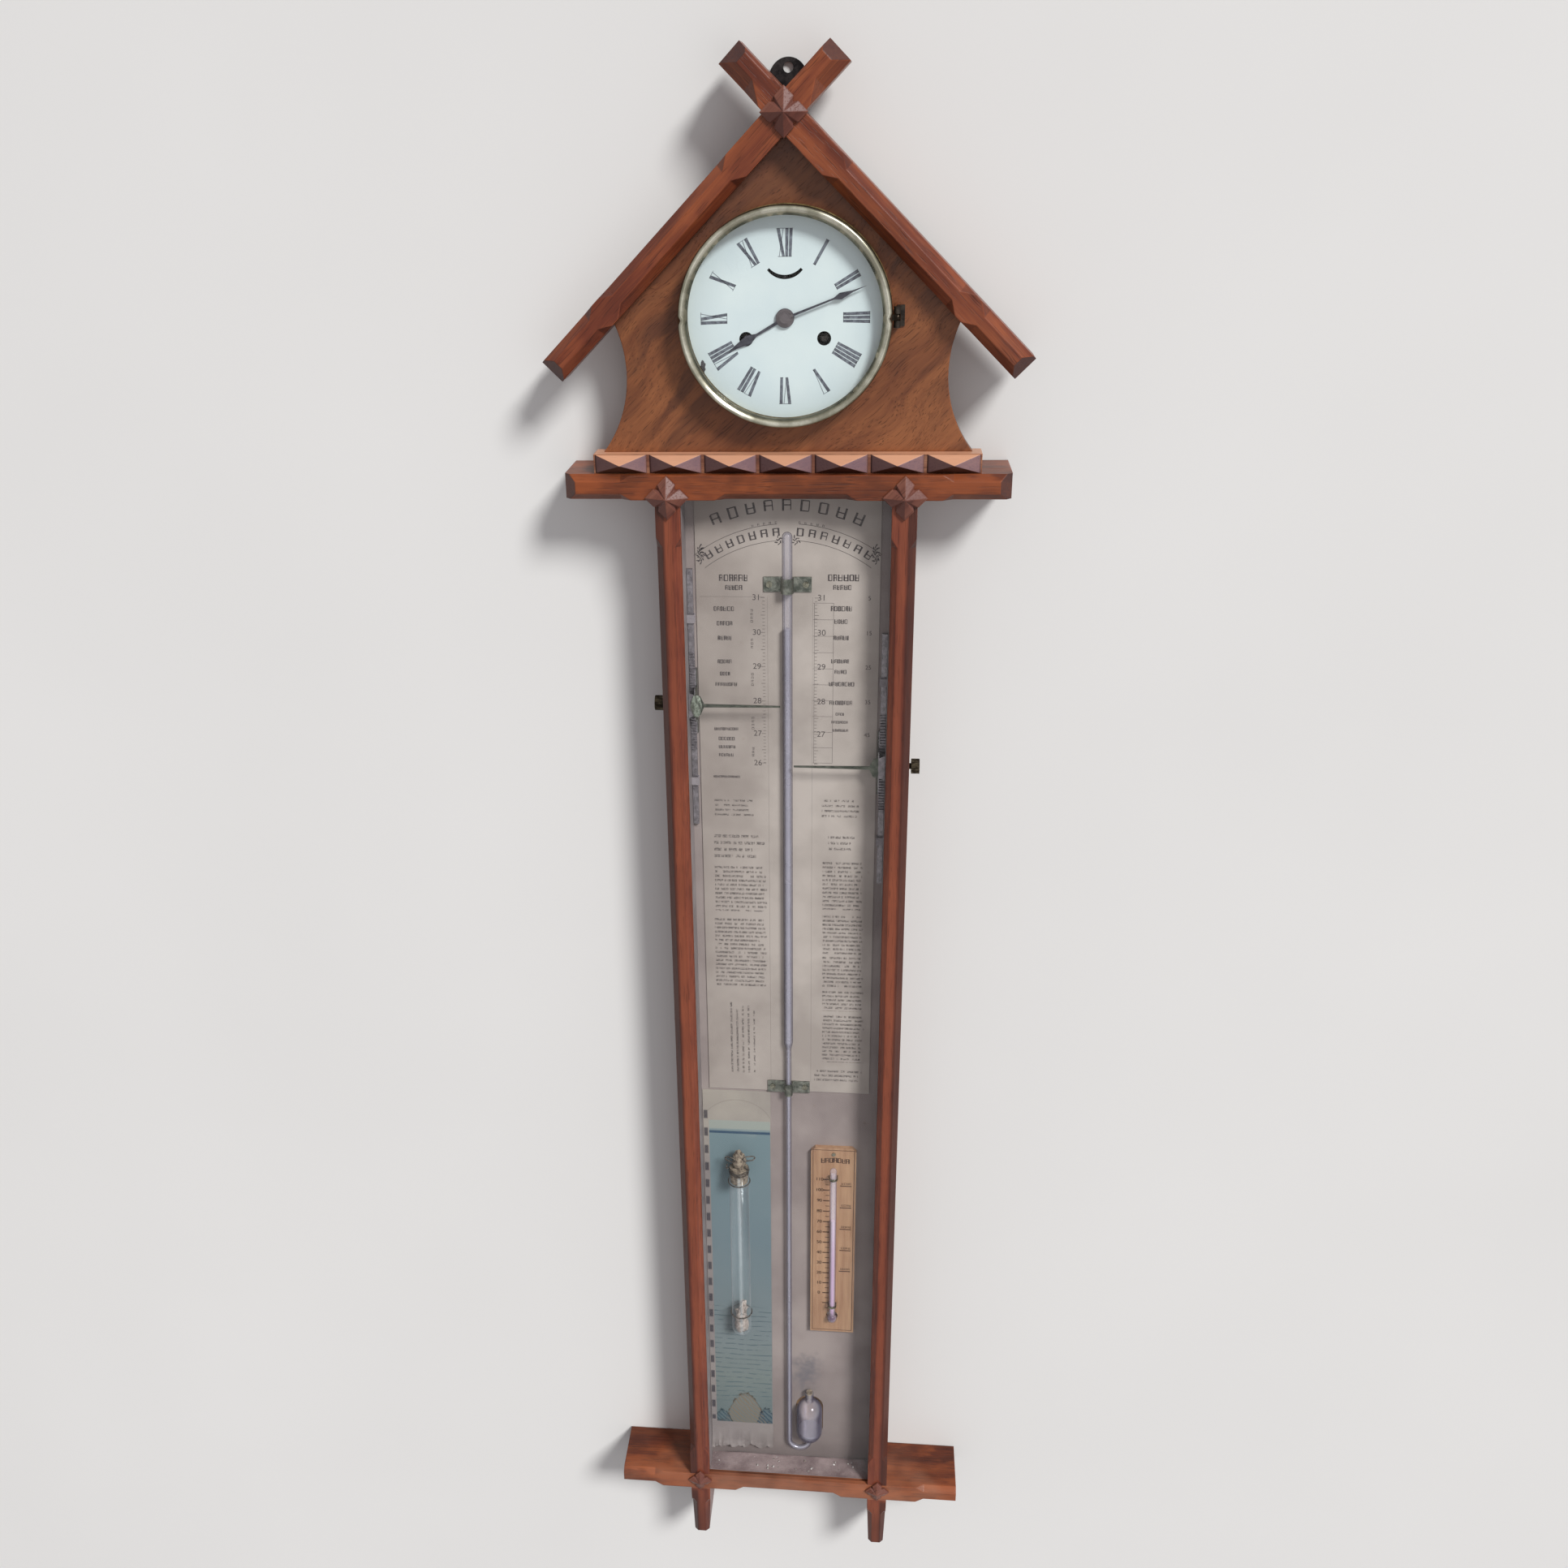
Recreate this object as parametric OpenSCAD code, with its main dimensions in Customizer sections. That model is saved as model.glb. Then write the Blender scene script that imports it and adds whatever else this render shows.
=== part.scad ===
// FitzRoy mercury barometer with a bezel clock in a timber A-frame gable.
// Millimetres, +Z up, the wall is the plane y = 0 and the front faces -Y.
// The origin is the centre of the hanging hole on the wall.

/* [Timber frame] */
// Distance from the wall to the front faces of the bars
case_depth = 50; // [46:1:58]
// Face width of the stiles, the crossbeam and the bottom bar
bar_w = 17; // [14:0.5:20]
// Width over both stiles
trunk_w = 177; // [160:1:200]
// Length of the crossbeam and of the bottom bar
beam_l = 301; // [270:1:340]
// Height of the hanging hole above the middle of the crossbeam
crossbeam_drop = 256.5; // [250:0.5:270]
// Height of the hanging hole above the middle of the bottom bar
bottom_bar_drop = 1167.5; // [1150:0.5:1200]
// Length of the legs below the bottom bar
leg_l = 54; // [20:1:80]
// Width of a leg at its tip
leg_tip_w = 13.5; // [8:0.5:14]
// Size of the stopped chamfers on the arrises
chamfer = 4.5; // [2:0.5:6]

/* [Gable] */
// Slope of the roof bars
roof_angle = 45; // [43:0.5:47]
// Height of the hanging hole above the point where the roof bars cross
crossing_drop = 26; // [22:0.5:30]
// Face width of a roof bar
roof_w = 18; // [14:0.5:20]
// Depth of a roof bar from front to back
roof_depth = 34; // [28:1:36]
// Length of a roof bar from the crossing to its lower end
roof_reach = 219; // [200:1:240]
// Length of a roof bar from the crossing to its finial end
finial_reach = 48; // [36:1:60]
// Bevel across the front of a bar's end
end_bevel = 8; // [3:0.5:10]
// Thickness of the pediment board
pediment_t = 10; // [7:0.5:12]
// How far the pediment board's front lies behind the front of the bars
pediment_set = 14; // [12:0.5:18]
// Half width of the pediment board at its waist
waist_x = 106; // [98:0.5:110]
// Height of the pediment board's waist above the frieze
waist_rise = 51; // [44:1:58]
// Radius of the hollow in each side of the pediment board
waist_r = 82; // [70:1:100]
// Height of the frieze under the pediment board
frieze_h = 13; // [8:0.5:16]
// Length of the frieze
frieze_l = 260; // [240:1:280]
// Number of pyramids along the frieze
pyramid_count = 7; // [5:1:9]
// Height of a frieze pyramid above its base
pyramid_rise = 8; // [4:0.5:12]
// Half diagonal of the star bosses on the apex and the crossbeam
boss_r = 15; // [12:0.5:18]
// Half diagonal of the star bosses on the bottom bar
small_boss_r = 10.5; // [7:0.5:13]
// Height of the upper bosses
boss_rise = 9; // [5:0.5:12]

/* [Hanging plate] */
// Radius of the hanging hole
hang_r = 3.2; // [2.5:0.1:4]
// Radius of the plate's round top
hang_plate_r = 12; // [10:0.5:14]
// Thickness of the hanging plate
hang_plate_t = 2; // [1.5:0.5:4]
// Length of the hanging plate below the hole
hang_plate_drop = 78; // [76:0.5:80]

/* [Trunk] */
// Thickness of the back board behind the chart
board_t = 12; // [10:0.5:14]
// How far the back board's face lies behind the front of the bars
board_set = 28; // [27.5:0.5:31]
// Depth that the back board and the glass go into the stiles
groove = 3; // [2:0.5:5]
// Thickness of the glass pane
pane_t = 2; // [1.5:0.25:3]
// How far the pane lies behind the front of the bars
pane_set = 4.5; // [4:0.5:6]
// Thickness of the lining paper
lining_t = 0.3; // [0.2:0.1:0.5]
// Thickness of the chart and of the storm label
card_t = 0.8; // [0.5:0.1:1.2]
// Gap between the chart's edges and the racks beside it
chart_gap = 2.2; // [1.5:0.1:6]
// Height of the hanging hole above the chart's lower edge
chart_end = 757; // [740:1:760]

/* [Barometer tube] */
// Outer radius of the wide upper tube
tube_r = 3.65; // [3:0.05:4.5]
// Outer radius of the narrow lower tube
stem_r = 2.4; // [2:0.05:2.9]
// Wall of the glass tube
tube_wall = 1.2; // [0.8:0.1:1.4]
// Depth of the tube's closed top below the hanging hole
tube_top = 292; // [285:1:310]
// Depth at which the tube narrows
tube_neck = 708; // [690:1:720]
// Depth of the centre of the bend at the bottom
bend_drop = 1134; // [1130:1:1136]
// Radius of the bend at the bottom
bend_r = 9; // [8.5:0.25:10]
// Radius of the cistern bulb
bulb_r = 11.7; // [9:0.1:12]
// Height of the cistern bulb
bulb_h = 47; // [40:1:52]
// Depth of the mercury's top below the hanging hole
mercury_top = 362; // [340:1:420]
// Height of the mercury column
mercury_column = 758; // [700:1:762]
// Half width of a tube strap
strap_x = 17; // [14:0.5:20]
// Height of a tube strap
strap_h = 11; // [8:0.5:14]

/* [Pointers] */
// Depth of the left pointer below the hanging hole
left_pointer_drop = 418.5; // [400:0.5:440]
// Depth of the right pointer below the hanging hole
right_pointer_drop = 465; // [440:0.5:500]
// Module of the rack teeth
rack_module = 0.7; // [0.5:0.05:0.8]
// Teeth on a rack pinion
rack_pinion_teeth = 10; // [9:1:12]
// Turns of a knob each way from the middle
knob_turns = 1.5; // [0.5:0.25:1.5]
// Radius of a setting knob
knob_r = 5.5; // [4:0.5:8]
// Length of a setting knob
knob_l = 6; // [4:0.5:9]

/* [Storm glass] */
// Width of the storm label
label_w = 56; // [48:1:58]
// Radius of the storm glass
storm_r = 8.4; // [6:0.1:8.6]
// Depth of the storm glass's top below the hanging hole
storm_top = 834; // [820:1:850]
// Length of the storm glass
storm_l = 172; // [150:1:190]

/* [Thermometer] */
// Width of the thermometer plate
thermo_w = 37.5; // [30:0.5:40]
// Height of the thermometer plate
thermo_h = 195; // [180:1:210]
// Thickness of the thermometer plate
thermo_t = 4; // [3:0.5:5]
// Gap between the thermometer plate and the right stile
thermo_margin = 15.5; // [8:0.5:18]
// Depth of the plate's top below the hanging hole
thermo_top = 810; // [790:1:830]
// Radius of the thermometer tube
thermo_r = 2.9; // [2:0.1:3.4]
// Radius of the thermometer bulb
thermo_bulb_r = 4.3; // [3.5:0.1:5]

/* [Clock] */
// Depth of the clock's centre below the hanging hole
clock_drop = 147.5; // [146:0.5:152]
// Outer radius of the bezel
bezel_r = 69; // [66:0.5:70]
// Width of the bezel ring
bezel_w = 6.2; // [5:0.1:8]
// Thickness of the bezel from back to front
bezel_t = 7.5; // [7:0.5:9]
// Thickness of the bezel glass
bezel_glass_t = 1.6; // [1.2:0.1:2.2]
// Radius of the opening in the pediment board
clock_hole_r = 60; // [59:0.5:61]
// Thickness of the dial
dial_t = 1; // [0.8:0.1:1.2]
// Length of the minute hand
minute_l = 56; // [50:0.5:58]
// Length of the hour hand
hour_l = 42; // [34:0.5:46]
// Bezel opening angle
bezel_open = 105; // [60:5:110]

/* [Movement] */
// Half width of the movement plates
plate_x = 36; // [34:0.5:37]
// Half height of the movement plates
plate_z = 46; // [44:0.5:46]
// Thickness of the movement plates
plate_t = 1.6; // [1.2:0.1:2]
// Module of the great wheels
great_module = 0.8; // [0.75:0.01:0.82]
// Teeth on a great wheel
great_teeth = 63; // [60:1:64]
// Leaves on the centre pinion
centre_leaves = 8; // [8:1:9]
// Radius of the spring barrels
barrel_r = 19; // [14:0.5:20]
// Angle of the winding arbors below the horizontal
winding_angle = 27.2; // [24:0.2:30]
// Radial clearance of the arbors in their holes
pivot_gap = 0.05; // [0.02:0.01:0.1]

/* [Hidden] */
$fn = 48;
// Cutters reach this far past the faces that they open
over = 1;
// Running gap between faces that slide or turn past each other
slide_gap = 0.3;

// Timber frame
stile_x = trunk_w / 2 - bar_w / 2;
inner_x = trunk_w / 2 - bar_w;
crossbeam_top = -crossbeam_drop + bar_w / 2;
crossbeam_under = -crossbeam_drop - bar_w / 2;
bottom_top = -bottom_bar_drop + bar_w / 2;
bottom_under = -bottom_bar_drop - bar_w / 2;
half_lap = case_depth / 2;
pediment_front = case_depth - pediment_set;
pediment_back = pediment_front - pediment_t;
pediment_under = crossbeam_top + frieze_h;
waist_z = pediment_under + waist_rise;
stile_top = pediment_under + 40;
board_out = case_depth - board_set;
pane_front = case_depth - pane_set;
pane_back = pane_front - pane_t;
pane_top = crossbeam_under + groove - 0.5;
pane_bottom = bottom_top - groove + 0.5;
groove_gap = 0.2;
stop_run = 1.6 * chamfer;
stile_stop = 34;
middle_run = 48;
wing_stop = 16;
wing_run = 36;

// Gable
roof_back = case_depth - roof_depth;
crossing_z = -crossing_drop;
roof_side = roof_w / 2 / cos(roof_angle);
frieze_front = case_depth - 6;
pyramid_pitch = frieze_l / pyramid_count;
pyramid_gap = 2;
boss_base = 2;
boss_drop = 6;
roof_stop = 42;
end_stop = 52;
stop_gap = 5;

// Clock box, a ring of boards behind the pediment board
box_gap = 4.5;
box_x = inner_x - box_gap;
box_wall = 6;
box_back = 5;
box_top = -80;
box_corner = 30;
block_x = 15;
block_top = -57;

// Hanging plate
hang_round_z = 6 - hang_plate_r;
hang_screws = [14 - hang_plate_drop, 4 - hang_plate_drop];
hang_screw_l = 18;
screw_r = 1.5;
screw_head_r = 3;
screw_head_l = 1.4;
box_screw_x = box_x - box_wall / 2;
box_screw_inset = 14;
box_screw_zs = [box_top - box_corner - box_screw_inset, crossbeam_top + box_screw_inset];
box_screw_out = 16;

// Trunk contents, each face measured from the wall
lining_out = board_out + lining_t;
card_out = lining_out + card_t;
chart_inset = 5;
chart_top = crossbeam_under - chart_inset;
tube_out = card_out + 0.4 + tube_r;
bore_r = tube_r - tube_wall;
stem_bore_r = stem_r - tube_wall;
bulb_x = 2 * bend_r;
bulb_bottom = -bend_drop + 1.6;
bulb_top = bulb_bottom + bulb_h;
neck_r = 3.8;
neck_h = 8;
bulb_pocket_r = bulb_r + 1.5;
mercury_gap = 0.05;
cistern_level = -mercury_top - mercury_column;
strap_t = 0.8;
strap_gap = 0.1;
strap_zs = [-330.5, -752.5];
pin_r = 0.8;
pin_head_r = 2.2;
pin_l = 6;
pin_x = strap_x - 4;

// Rack and pinion setting of the pointers
rack_back = lining_out + slide_gap;
rack_pitch_out = rack_back + 3.5;
rack_root = rack_pitch_out - 1.15 * rack_module;
rack_tip = rack_pitch_out + 0.55 * rack_module;
rack_pinion_r = rack_module * rack_pinion_teeth / 2;
knob_out = rack_pitch_out + rack_pinion_r;
rack_w = 4;
rack_outer_x = inner_x - slide_gap;
rack_inner_x = rack_outer_x - rack_w;
chart_x = rack_inner_x - chart_gap;
rack_travel = 2 * PI * rack_pinion_r * knob_turns;
carriage_h = 25;
guide_h = 6;
guide_z = carriage_h + rack_travel + 2;
guide_t = 0.8;
rack_half = guide_z + guide_h + rack_travel;
cheek_t = 1;
carriage_out = knob_out + rack_pinion_r + 0.8 * rack_module + slide_gap + 0.2;
pointer_t = 0.9;
pointer_tip_x = tube_r + 1.2;
shaft_r = 1.5;
stem_l = 1.5;

// Storm glass
label_x = -inner_x + 0.4;
label_top = -chart_end - 2;
label_bottom = bottom_top + 6;
tie_wire_r = 0.5;
storm_shift = 2;
storm_x = label_x + label_w / 2 + storm_shift;
storm_out = card_out + 0.1 + 2 * tie_wire_r + storm_r + 0.1;
storm_wall = 1;
storm_bottom = -storm_top - storm_l;
cork_l = 14;
cork_in = 8;
tie_inset = 8;
tie_lift = 24;
tie_zs = [-storm_top - tie_inset, storm_bottom + tie_lift];

// Thermometer
thermo_x = inner_x - thermo_margin - thermo_w / 2;
thermo_face = lining_out + thermo_t;
thermo_out = thermo_face + thermo_r + 0.3;
thermo_tube_top = -thermo_top - 18;
thermo_bulb_z = -thermo_top - thermo_h + 18;
thermo_bore_r = thermo_r - 1;
thermo_level = -882;
staple_zs = [thermo_tube_top - 10, thermo_bulb_z + 14];
staple_t = 0.8;

// Clock, each face measured from the wall
clock_z = -clock_drop;
drum_r = bezel_r - 3;
drum_wall = 2.6;
drum_front = pediment_front + 11.6;
dial_back = pediment_front + 7.4;
dial_front = dial_back + dial_t;
dial_r = drum_r - drum_wall - 0.2;
bezel_back = drum_front + slide_gap;
bezel_front = bezel_back + bezel_t;
bezel_inner_r = bezel_r - bezel_w;
glass_out = bezel_back + 3.4;
hinge_x = bezel_r + 2.8;
hinge_out = bezel_back - 2;
knuckle_r = 2.2;
knuckle_h = 2.2;
hinge_pin_r = 1;
plate_front = pediment_front;
plate_front_face = plate_front + plate_t;
plate_back = box_back + 4;
plate_back_face = plate_back + plate_t;
winding_d = great_module * (great_teeth + centre_leaves) / 2;
winding_x = winding_d * cos(winding_angle);
winding_z = -winding_d * sin(winding_angle);
winding_r = 2.5;
key_square = 3.2;
great_out = plate_front - 12;
strike_out = plate_front - 17;
wheel_t = 1.2;
arbor_r = 1;
centre_r = 2;
centre_tip_r = 1.6;
centre_teeth = 64;
centre_module = 0.6;
third_leaves = 8;
third_teeth = 56;
third_module = 0.4;
escape_leaves = 8;
third_angle = 60;
third_d = centre_module * (centre_teeth + third_leaves) / 2;
third_p = [third_d * cos(third_angle), third_d * sin(third_angle)];
escape_angle = 165;
escape_d = third_module * (third_teeth + escape_leaves) / 2;
escape_p = third_p + escape_d * [cos(escape_angle), sin(escape_angle)];
escape_teeth = 15;
escape_r = 6.5;
balance_p = [0, 39.4];
balance_r = 9;
lever_p = [-10, 31];
centre_out = plate_front - 6;
third_out = plate_front - 9;
escape_out = plate_front - 20;
balance_out = plate_front - 16;
motion_module = 0.6;
cannon_leaves = 12;
minute_teeth = 36;
motion_d = motion_module * (cannon_leaves + minute_teeth) / 2;
minute_leaves = 10;
hour_teeth = 40;
hour_module = 2 * motion_d / (minute_leaves + hour_teeth);
cannon_out = plate_front_face + 0.6;
hour_out = cannon_out + 1.9;
pipe_r = 3;
hour_hand_out = dial_front + 0.8;
minute_hand_out = hour_hand_out + 1.8;
hand_t = 0.6;
hour_eye_r = 6;
hour_eye_t = 0.9;
regulator_l = 14.3;
regulator_out = plate_front_face + 1.2;
regulator_hub = 3;
slot_half_angle = 49;
slot_w = 2.6;
slot_taper = 1.2;
pillar_ps = [[-32, 41], [32, 41], [-33, -42], [33, -42]];
pillar_r = 2.5;
bell_p = [0, -74];
bell_r = 14.5;
bell_out = pediment_back - 12;
hammer_p = [-18, -41];
hammer_head = [-17.2, -64];
hammer_out = bell_out + 3;

// A block given by its sides and its distances from the wall
module slab(x0, x1, back, front, z0, z1)
    translate([x0, -front, z0]) cube([x1 - x0, front - back, z1 - z0]);

// A round pin standing out from the wall
module peg(x, z, r, back, front)
    translate([x, -back, z]) rotate([90, 0, 0]) cylinder(r = r, h = front - back);

// A flat shape drawn as seen from the front and given a thickness
module sheet(back, front)
    translate([0, -back, 0]) rotate([90, 0, 0]) linear_extrude(height = front - back) children();

// The wedge that a stopped chamfer takes off the front upper arris along X
module arris_cut(s0, s1, size, open0 = false, open1 = false) {
    deep = -size / sqrt(2);
    run0 = open0 ? 0 : 1.6 * size;
    run1 = open1 ? 0 : 1.6 * size;
    a = open0 ? s0 - over : s0;
    b = open1 ? s1 + over : s1;
    rotate([135, 0, 0])
        linear_extrude(height = 6 * size, center = true)
            polygon([[a, over], [a, open0 ? deep : 0], [a + run0, deep],
                [b - run1, deep], [b, open1 ? deep : 0], [b, over]]);
}

// Chamfers the front arris on one side of a bar that lies along X
module bar_chamfer(w, side, s0, s1, size, open0 = false, open1 = false)
    translate([0, -case_depth, side * w / 2])
        mirror([0, 0, side > 0 ? 0 : 1]) arris_cut(s0, s1, size, open0, open1);

// Bevels the front of a bar's end at x, facing the way of dir
module bevel_cut(x, dir, size, w)
    translate([x, -case_depth, -w / 2 - over])
        linear_extrude(height = w + 2 * over)
            polygon([[dir * over, -over], [-dir * (size + over), -over], [dir * over, size + over]]);

// A pointed diamond boss with a notch in the middle of each edge and its base at distance back
module star_boss(r, rise) {
    petal = [[1, 0], [0.6, 0.4], [0.37, 0.37], [0.4, 0.6]];
    star = [for (turn = [0:90:270], p = petal)
        r * [p[0] * cos(turn) - p[1] * sin(turn), p[0] * sin(turn) + p[1] * cos(turn)]];
    n = len(star);
    points = concat(
        [for (p = star) [p[0], 0, p[1]]],
        [for (p = star) [p[0], -boss_base, p[1]]],
        [[0, -rise, 0]]);
    faces = concat(
        [[for (i = [n - 1:-1:0]) i]],
        [for (i = [0:n - 1]) [i, (i + 1) % n, n + (i + 1) % n, n + i]],
        [for (i = [0:n - 1]) [n + i, n + (i + 1) % n, 2 * n]]);
    polyhedron(points = points, faces = faces);
}

// A toothed wheel outline, with a tooth centred on the angle phase
module gear_outline(teeth, mod, phase = 0) {
    pitch_r = mod * teeth / 2;
    root_r = pitch_r - 0.8 * mod;
    tip_r = pitch_r + 0.55 * mod;
    step = 360 / teeth;
    polygon([for (i = [0:teeth - 1], k = [0:3])
        let (a = phase + i * step + step * [-0.27, -0.11, 0.11, 0.27][k],
            r = [root_r, tip_r, tip_r, root_r][k])
        r * [cos(a), sin(a)]]);
}

// A wheel with crossed-out arms
module wheel(p, teeth, mod, back, phase, hub_r) {
    rim = mod * teeth / 2 - 0.8 * mod - 1.6;
    translate([p[0], 0, clock_z + p[1]]) sheet(back, back + wheel_t)
        difference() {
            gear_outline(teeth, mod, phase);
            for (i = [0:3])
                rotate(90 * i + 45) intersection() {
                    difference() {
                        circle(r = rim);
                        circle(r = hub_r + 1.5);
                    }
                    translate([0.9, 0.9]) rotate(0) square([rim, rim]);
                }
        }
}

// A solid pinion
module pinion(p, leaves, mod, back, front, phase)
    translate([p[0], 0, clock_z + p[1]]) sheet(back, front) gear_outline(leaves, mod, phase);

// A pin between the movement plates, drawn in clock coordinates
module arbor(p, r, back, front)
    peg(p[0], clock_z + p[1], r, back, front);

// The holes that the movement plates carry for their arbors
module arbor_holes(back, front) {
    for (p = [third_p, escape_p, lever_p, balance_p, hammer_p])
        arbor(p, arbor_r + pivot_gap, back - over, front + over);
    arbor([0, 0], centre_r + pivot_gap, back - over, front + over);
    for (s = [-1, 1])
        arbor([s * winding_x, winding_z], winding_r + pivot_gap, back - over, front + over);
}

// A closed outline of the clock box, drawn in by inset on every side
function box_outline(inset) = let (c = inset * tan(22.5)) [
    [-box_x + inset, crossbeam_top + inset], [box_x - inset, crossbeam_top + inset],
    [box_x - inset, box_top - box_corner - c], [box_x - box_corner - c, box_top - inset],
    [-box_x + box_corner + c, box_top - inset], [-box_x + inset, box_top - box_corner - c]];

// The pediment board's outline between the roof bars and the frieze
module pediment_outline() {
    foot_x = waist_x + waist_r - sqrt(pow(waist_r, 2) - pow(waist_z - pediment_under, 2));
    eave_x = foot_x + 4;
    eave_z = crossing_z - eave_x * tan(roof_angle);
    difference() {
        polygon([[0, crossing_z], [eave_x, eave_z], [eave_x, pediment_under],
            [-eave_x, pediment_under], [-eave_x, eave_z]]);
        for (s = [-1, 1])
            translate([s * (waist_x + waist_r), waist_z]) circle(r = waist_r, $fn = 96);
    }
}
module stile_bar() {
    leg_end = -bottom_under + leg_l;
    difference() {
        union() {
            slab(-bar_w / 2, bar_w / 2, 0, case_depth, bottom_under, crossbeam_top);
            slab(-bar_w / 2, bar_w / 2, 0, pediment_back, crossbeam_top, stile_top);
            sheet(0, case_depth)
                polygon([[-bar_w / 2, bottom_under], [bar_w / 2, bottom_under],
                    [bar_w / 2, bottom_under - 8], [leg_tip_w / 2, bottom_under - leg_l],
                    [-leg_tip_w / 2, bottom_under - leg_l], [-bar_w / 2, bottom_under - 8]]);
        }
        slab(-bar_w, bar_w, half_lap, case_depth + over, crossbeam_under, crossbeam_top);
        slab(-bar_w, bar_w, half_lap, case_depth + over, bottom_under, bottom_top);
        for (side = [-1, 1])
            rotate([0, 90, 0])
                bar_chamfer(bar_w, side, crossbeam_drop + stile_stop, bottom_bar_drop - stile_stop, chamfer);
        for (side = [-1, 1])
            rotate([0, 90, 0])
                bar_chamfer(leg_tip_w, side, -bottom_under + 14, leg_end, 3, false, true);
    }
}

module stile(s)
    color("#8a4526") difference() {
        translate([s * stile_x, 0, 0]) stile_bar();
        slab(s > 0 ? inner_x - over : -inner_x - groove - groove_gap,
            s > 0 ? inner_x + groove + groove_gap : -inner_x + over,
            board_out - board_t, board_out, bottom_top, crossbeam_under);
        slab(s > 0 ? inner_x - over : -inner_x - groove - groove_gap,
            s > 0 ? inner_x + groove + groove_gap : -inner_x + over,
            pane_back - groove_gap, pane_front + groove_gap, bottom_top - groove, crossbeam_under + over);
        knob_bore(s);
    }

// The hole through a stile for its knob shaft
module knob_bore(s)
    translate([s * inner_x, -knob_out, s < 0 ? -left_pointer_drop : -right_pointer_drop])
        rotate([0, 90, 0]) cylinder(r = shaft_r + pivot_gap, h = 3 * bar_w, center = true);

module stile_left() stile(-1);

module stile_right() stile(1);

module back_board()
    color("#8f857c") difference() {
        slab(-inner_x - groove, inner_x + groove, board_out - board_t, board_out,
            bottom_top, crossbeam_under);
        bulb_pocket();
        pin_holes(board_out - pin_l, board_out + over);
    }

// The hollow that the cistern bulb sits in
module bulb_pocket()
    translate([bulb_x, -tube_out, 0]) {
        hull_z0 = bulb_bottom + bulb_r;
        hull_z1 = bulb_top - bulb_r;
        translate([0, 0, hull_z0]) cylinder(r = bulb_pocket_r, h = hull_z1 - hull_z0);
        translate([0, 0, hull_z0]) sphere(r = bulb_pocket_r);
        translate([0, 0, hull_z1]) sphere(r = bulb_pocket_r);
    }

module crossbeam()
    color("#8a4526") difference() {
        slab(-beam_l / 2, beam_l / 2, 0, case_depth, crossbeam_under, crossbeam_top);
        for (s = [-1, 1])
            slab(s * stile_x - bar_w / 2, s * stile_x + bar_w / 2, -over, half_lap,
                crossbeam_under - over, crossbeam_top + over);
        slab(-inner_x - groove, inner_x + groove, pane_back - groove_gap, pane_front + groove_gap,
            crossbeam_under - over, crossbeam_under + groove);
        for (s = [-1, 1])
            translate([0, 0, -crossbeam_drop])
                bevel_cut(s * beam_l / 2, s, end_bevel, bar_w);
        for (side = [-1, 1])
            translate([0, 0, -crossbeam_drop]) {
                bar_chamfer(bar_w, side, -beam_l / 2, -trunk_w / 2 - wing_stop, chamfer, true, false);
                bar_chamfer(bar_w, side, trunk_w / 2 + wing_stop, beam_l / 2, chamfer, false, true);
            }
        translate([0, 0, -crossbeam_drop]) bar_chamfer(bar_w, -1, -middle_run, middle_run, chamfer);
    }

module bottom_bar()
    color("#8a4526") difference() {
        slab(-beam_l / 2, beam_l / 2, 0, case_depth, bottom_under, bottom_top);
        for (s = [-1, 1])
            slab(s * stile_x - bar_w / 2, s * stile_x + bar_w / 2, -over, half_lap,
                bottom_under - over, bottom_top + over);
        slab(-inner_x - groove, inner_x + groove, pane_back - groove_gap, pane_front + groove_gap,
            bottom_top - groove, bottom_top + over);
        for (side = [-1, 1])
            translate([0, 0, -bottom_bar_drop]) {
                bar_chamfer(bar_w, side, -beam_l / 2, -beam_l / 2 + wing_run, chamfer, true, false);
                bar_chamfer(bar_w, side, beam_l / 2 - wing_run, beam_l / 2, chamfer, false, true);
            }
        translate([0, 0, -bottom_bar_drop]) bar_chamfer(bar_w, -1, -middle_run, middle_run, chamfer);
    }

module frieze_block()
    color("#7d4a2c")
        slab(-frieze_l / 2, frieze_l / 2, pediment_back, frieze_front, crossbeam_top, pediment_under);

module frieze_pyramids()
    color("#a06a48")
        for (i = [0:pyramid_count - 1])
            translate([(i - (pyramid_count - 1) / 2) * pyramid_pitch, -frieze_front,
                (crossbeam_top + pediment_under) / 2])
                pyramid((pyramid_pitch - pyramid_gap) / 2, (frieze_h - 0.6) / 2);

// One oblong pyramid of half width hx and half height hz
module pyramid(hx, hz)
    polyhedron(
        points = [[-hx, 0, -hz], [hx, 0, -hz], [hx, 0, hz], [-hx, 0, hz], [0, -pyramid_rise, 0]],
        faces = [[3, 2, 1, 0], [0, 1, 4], [1, 2, 4], [2, 3, 4], [3, 0, 4]]);

module pediment_board()
    color("#84532f") difference() {
        sheet(pediment_back, pediment_front) pediment_outline();
        peg(0, clock_z, clock_hole_r, pediment_back - over, pediment_front + over);
        roof_crossing_block();
    }

// The square where the roof bars cross, above the corner between them
module roof_crossing_block()
    translate([0, 0, crossing_z]) sheet(roof_back, case_depth)
        polygon([[0, roof_side * 2], [roof_side * 2, 0], [roof_side / 2, -roof_side * 1.5],
            [0, -roof_side], [-roof_side / 2, -roof_side * 1.5], [-roof_side * 2, 0]]);

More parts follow.
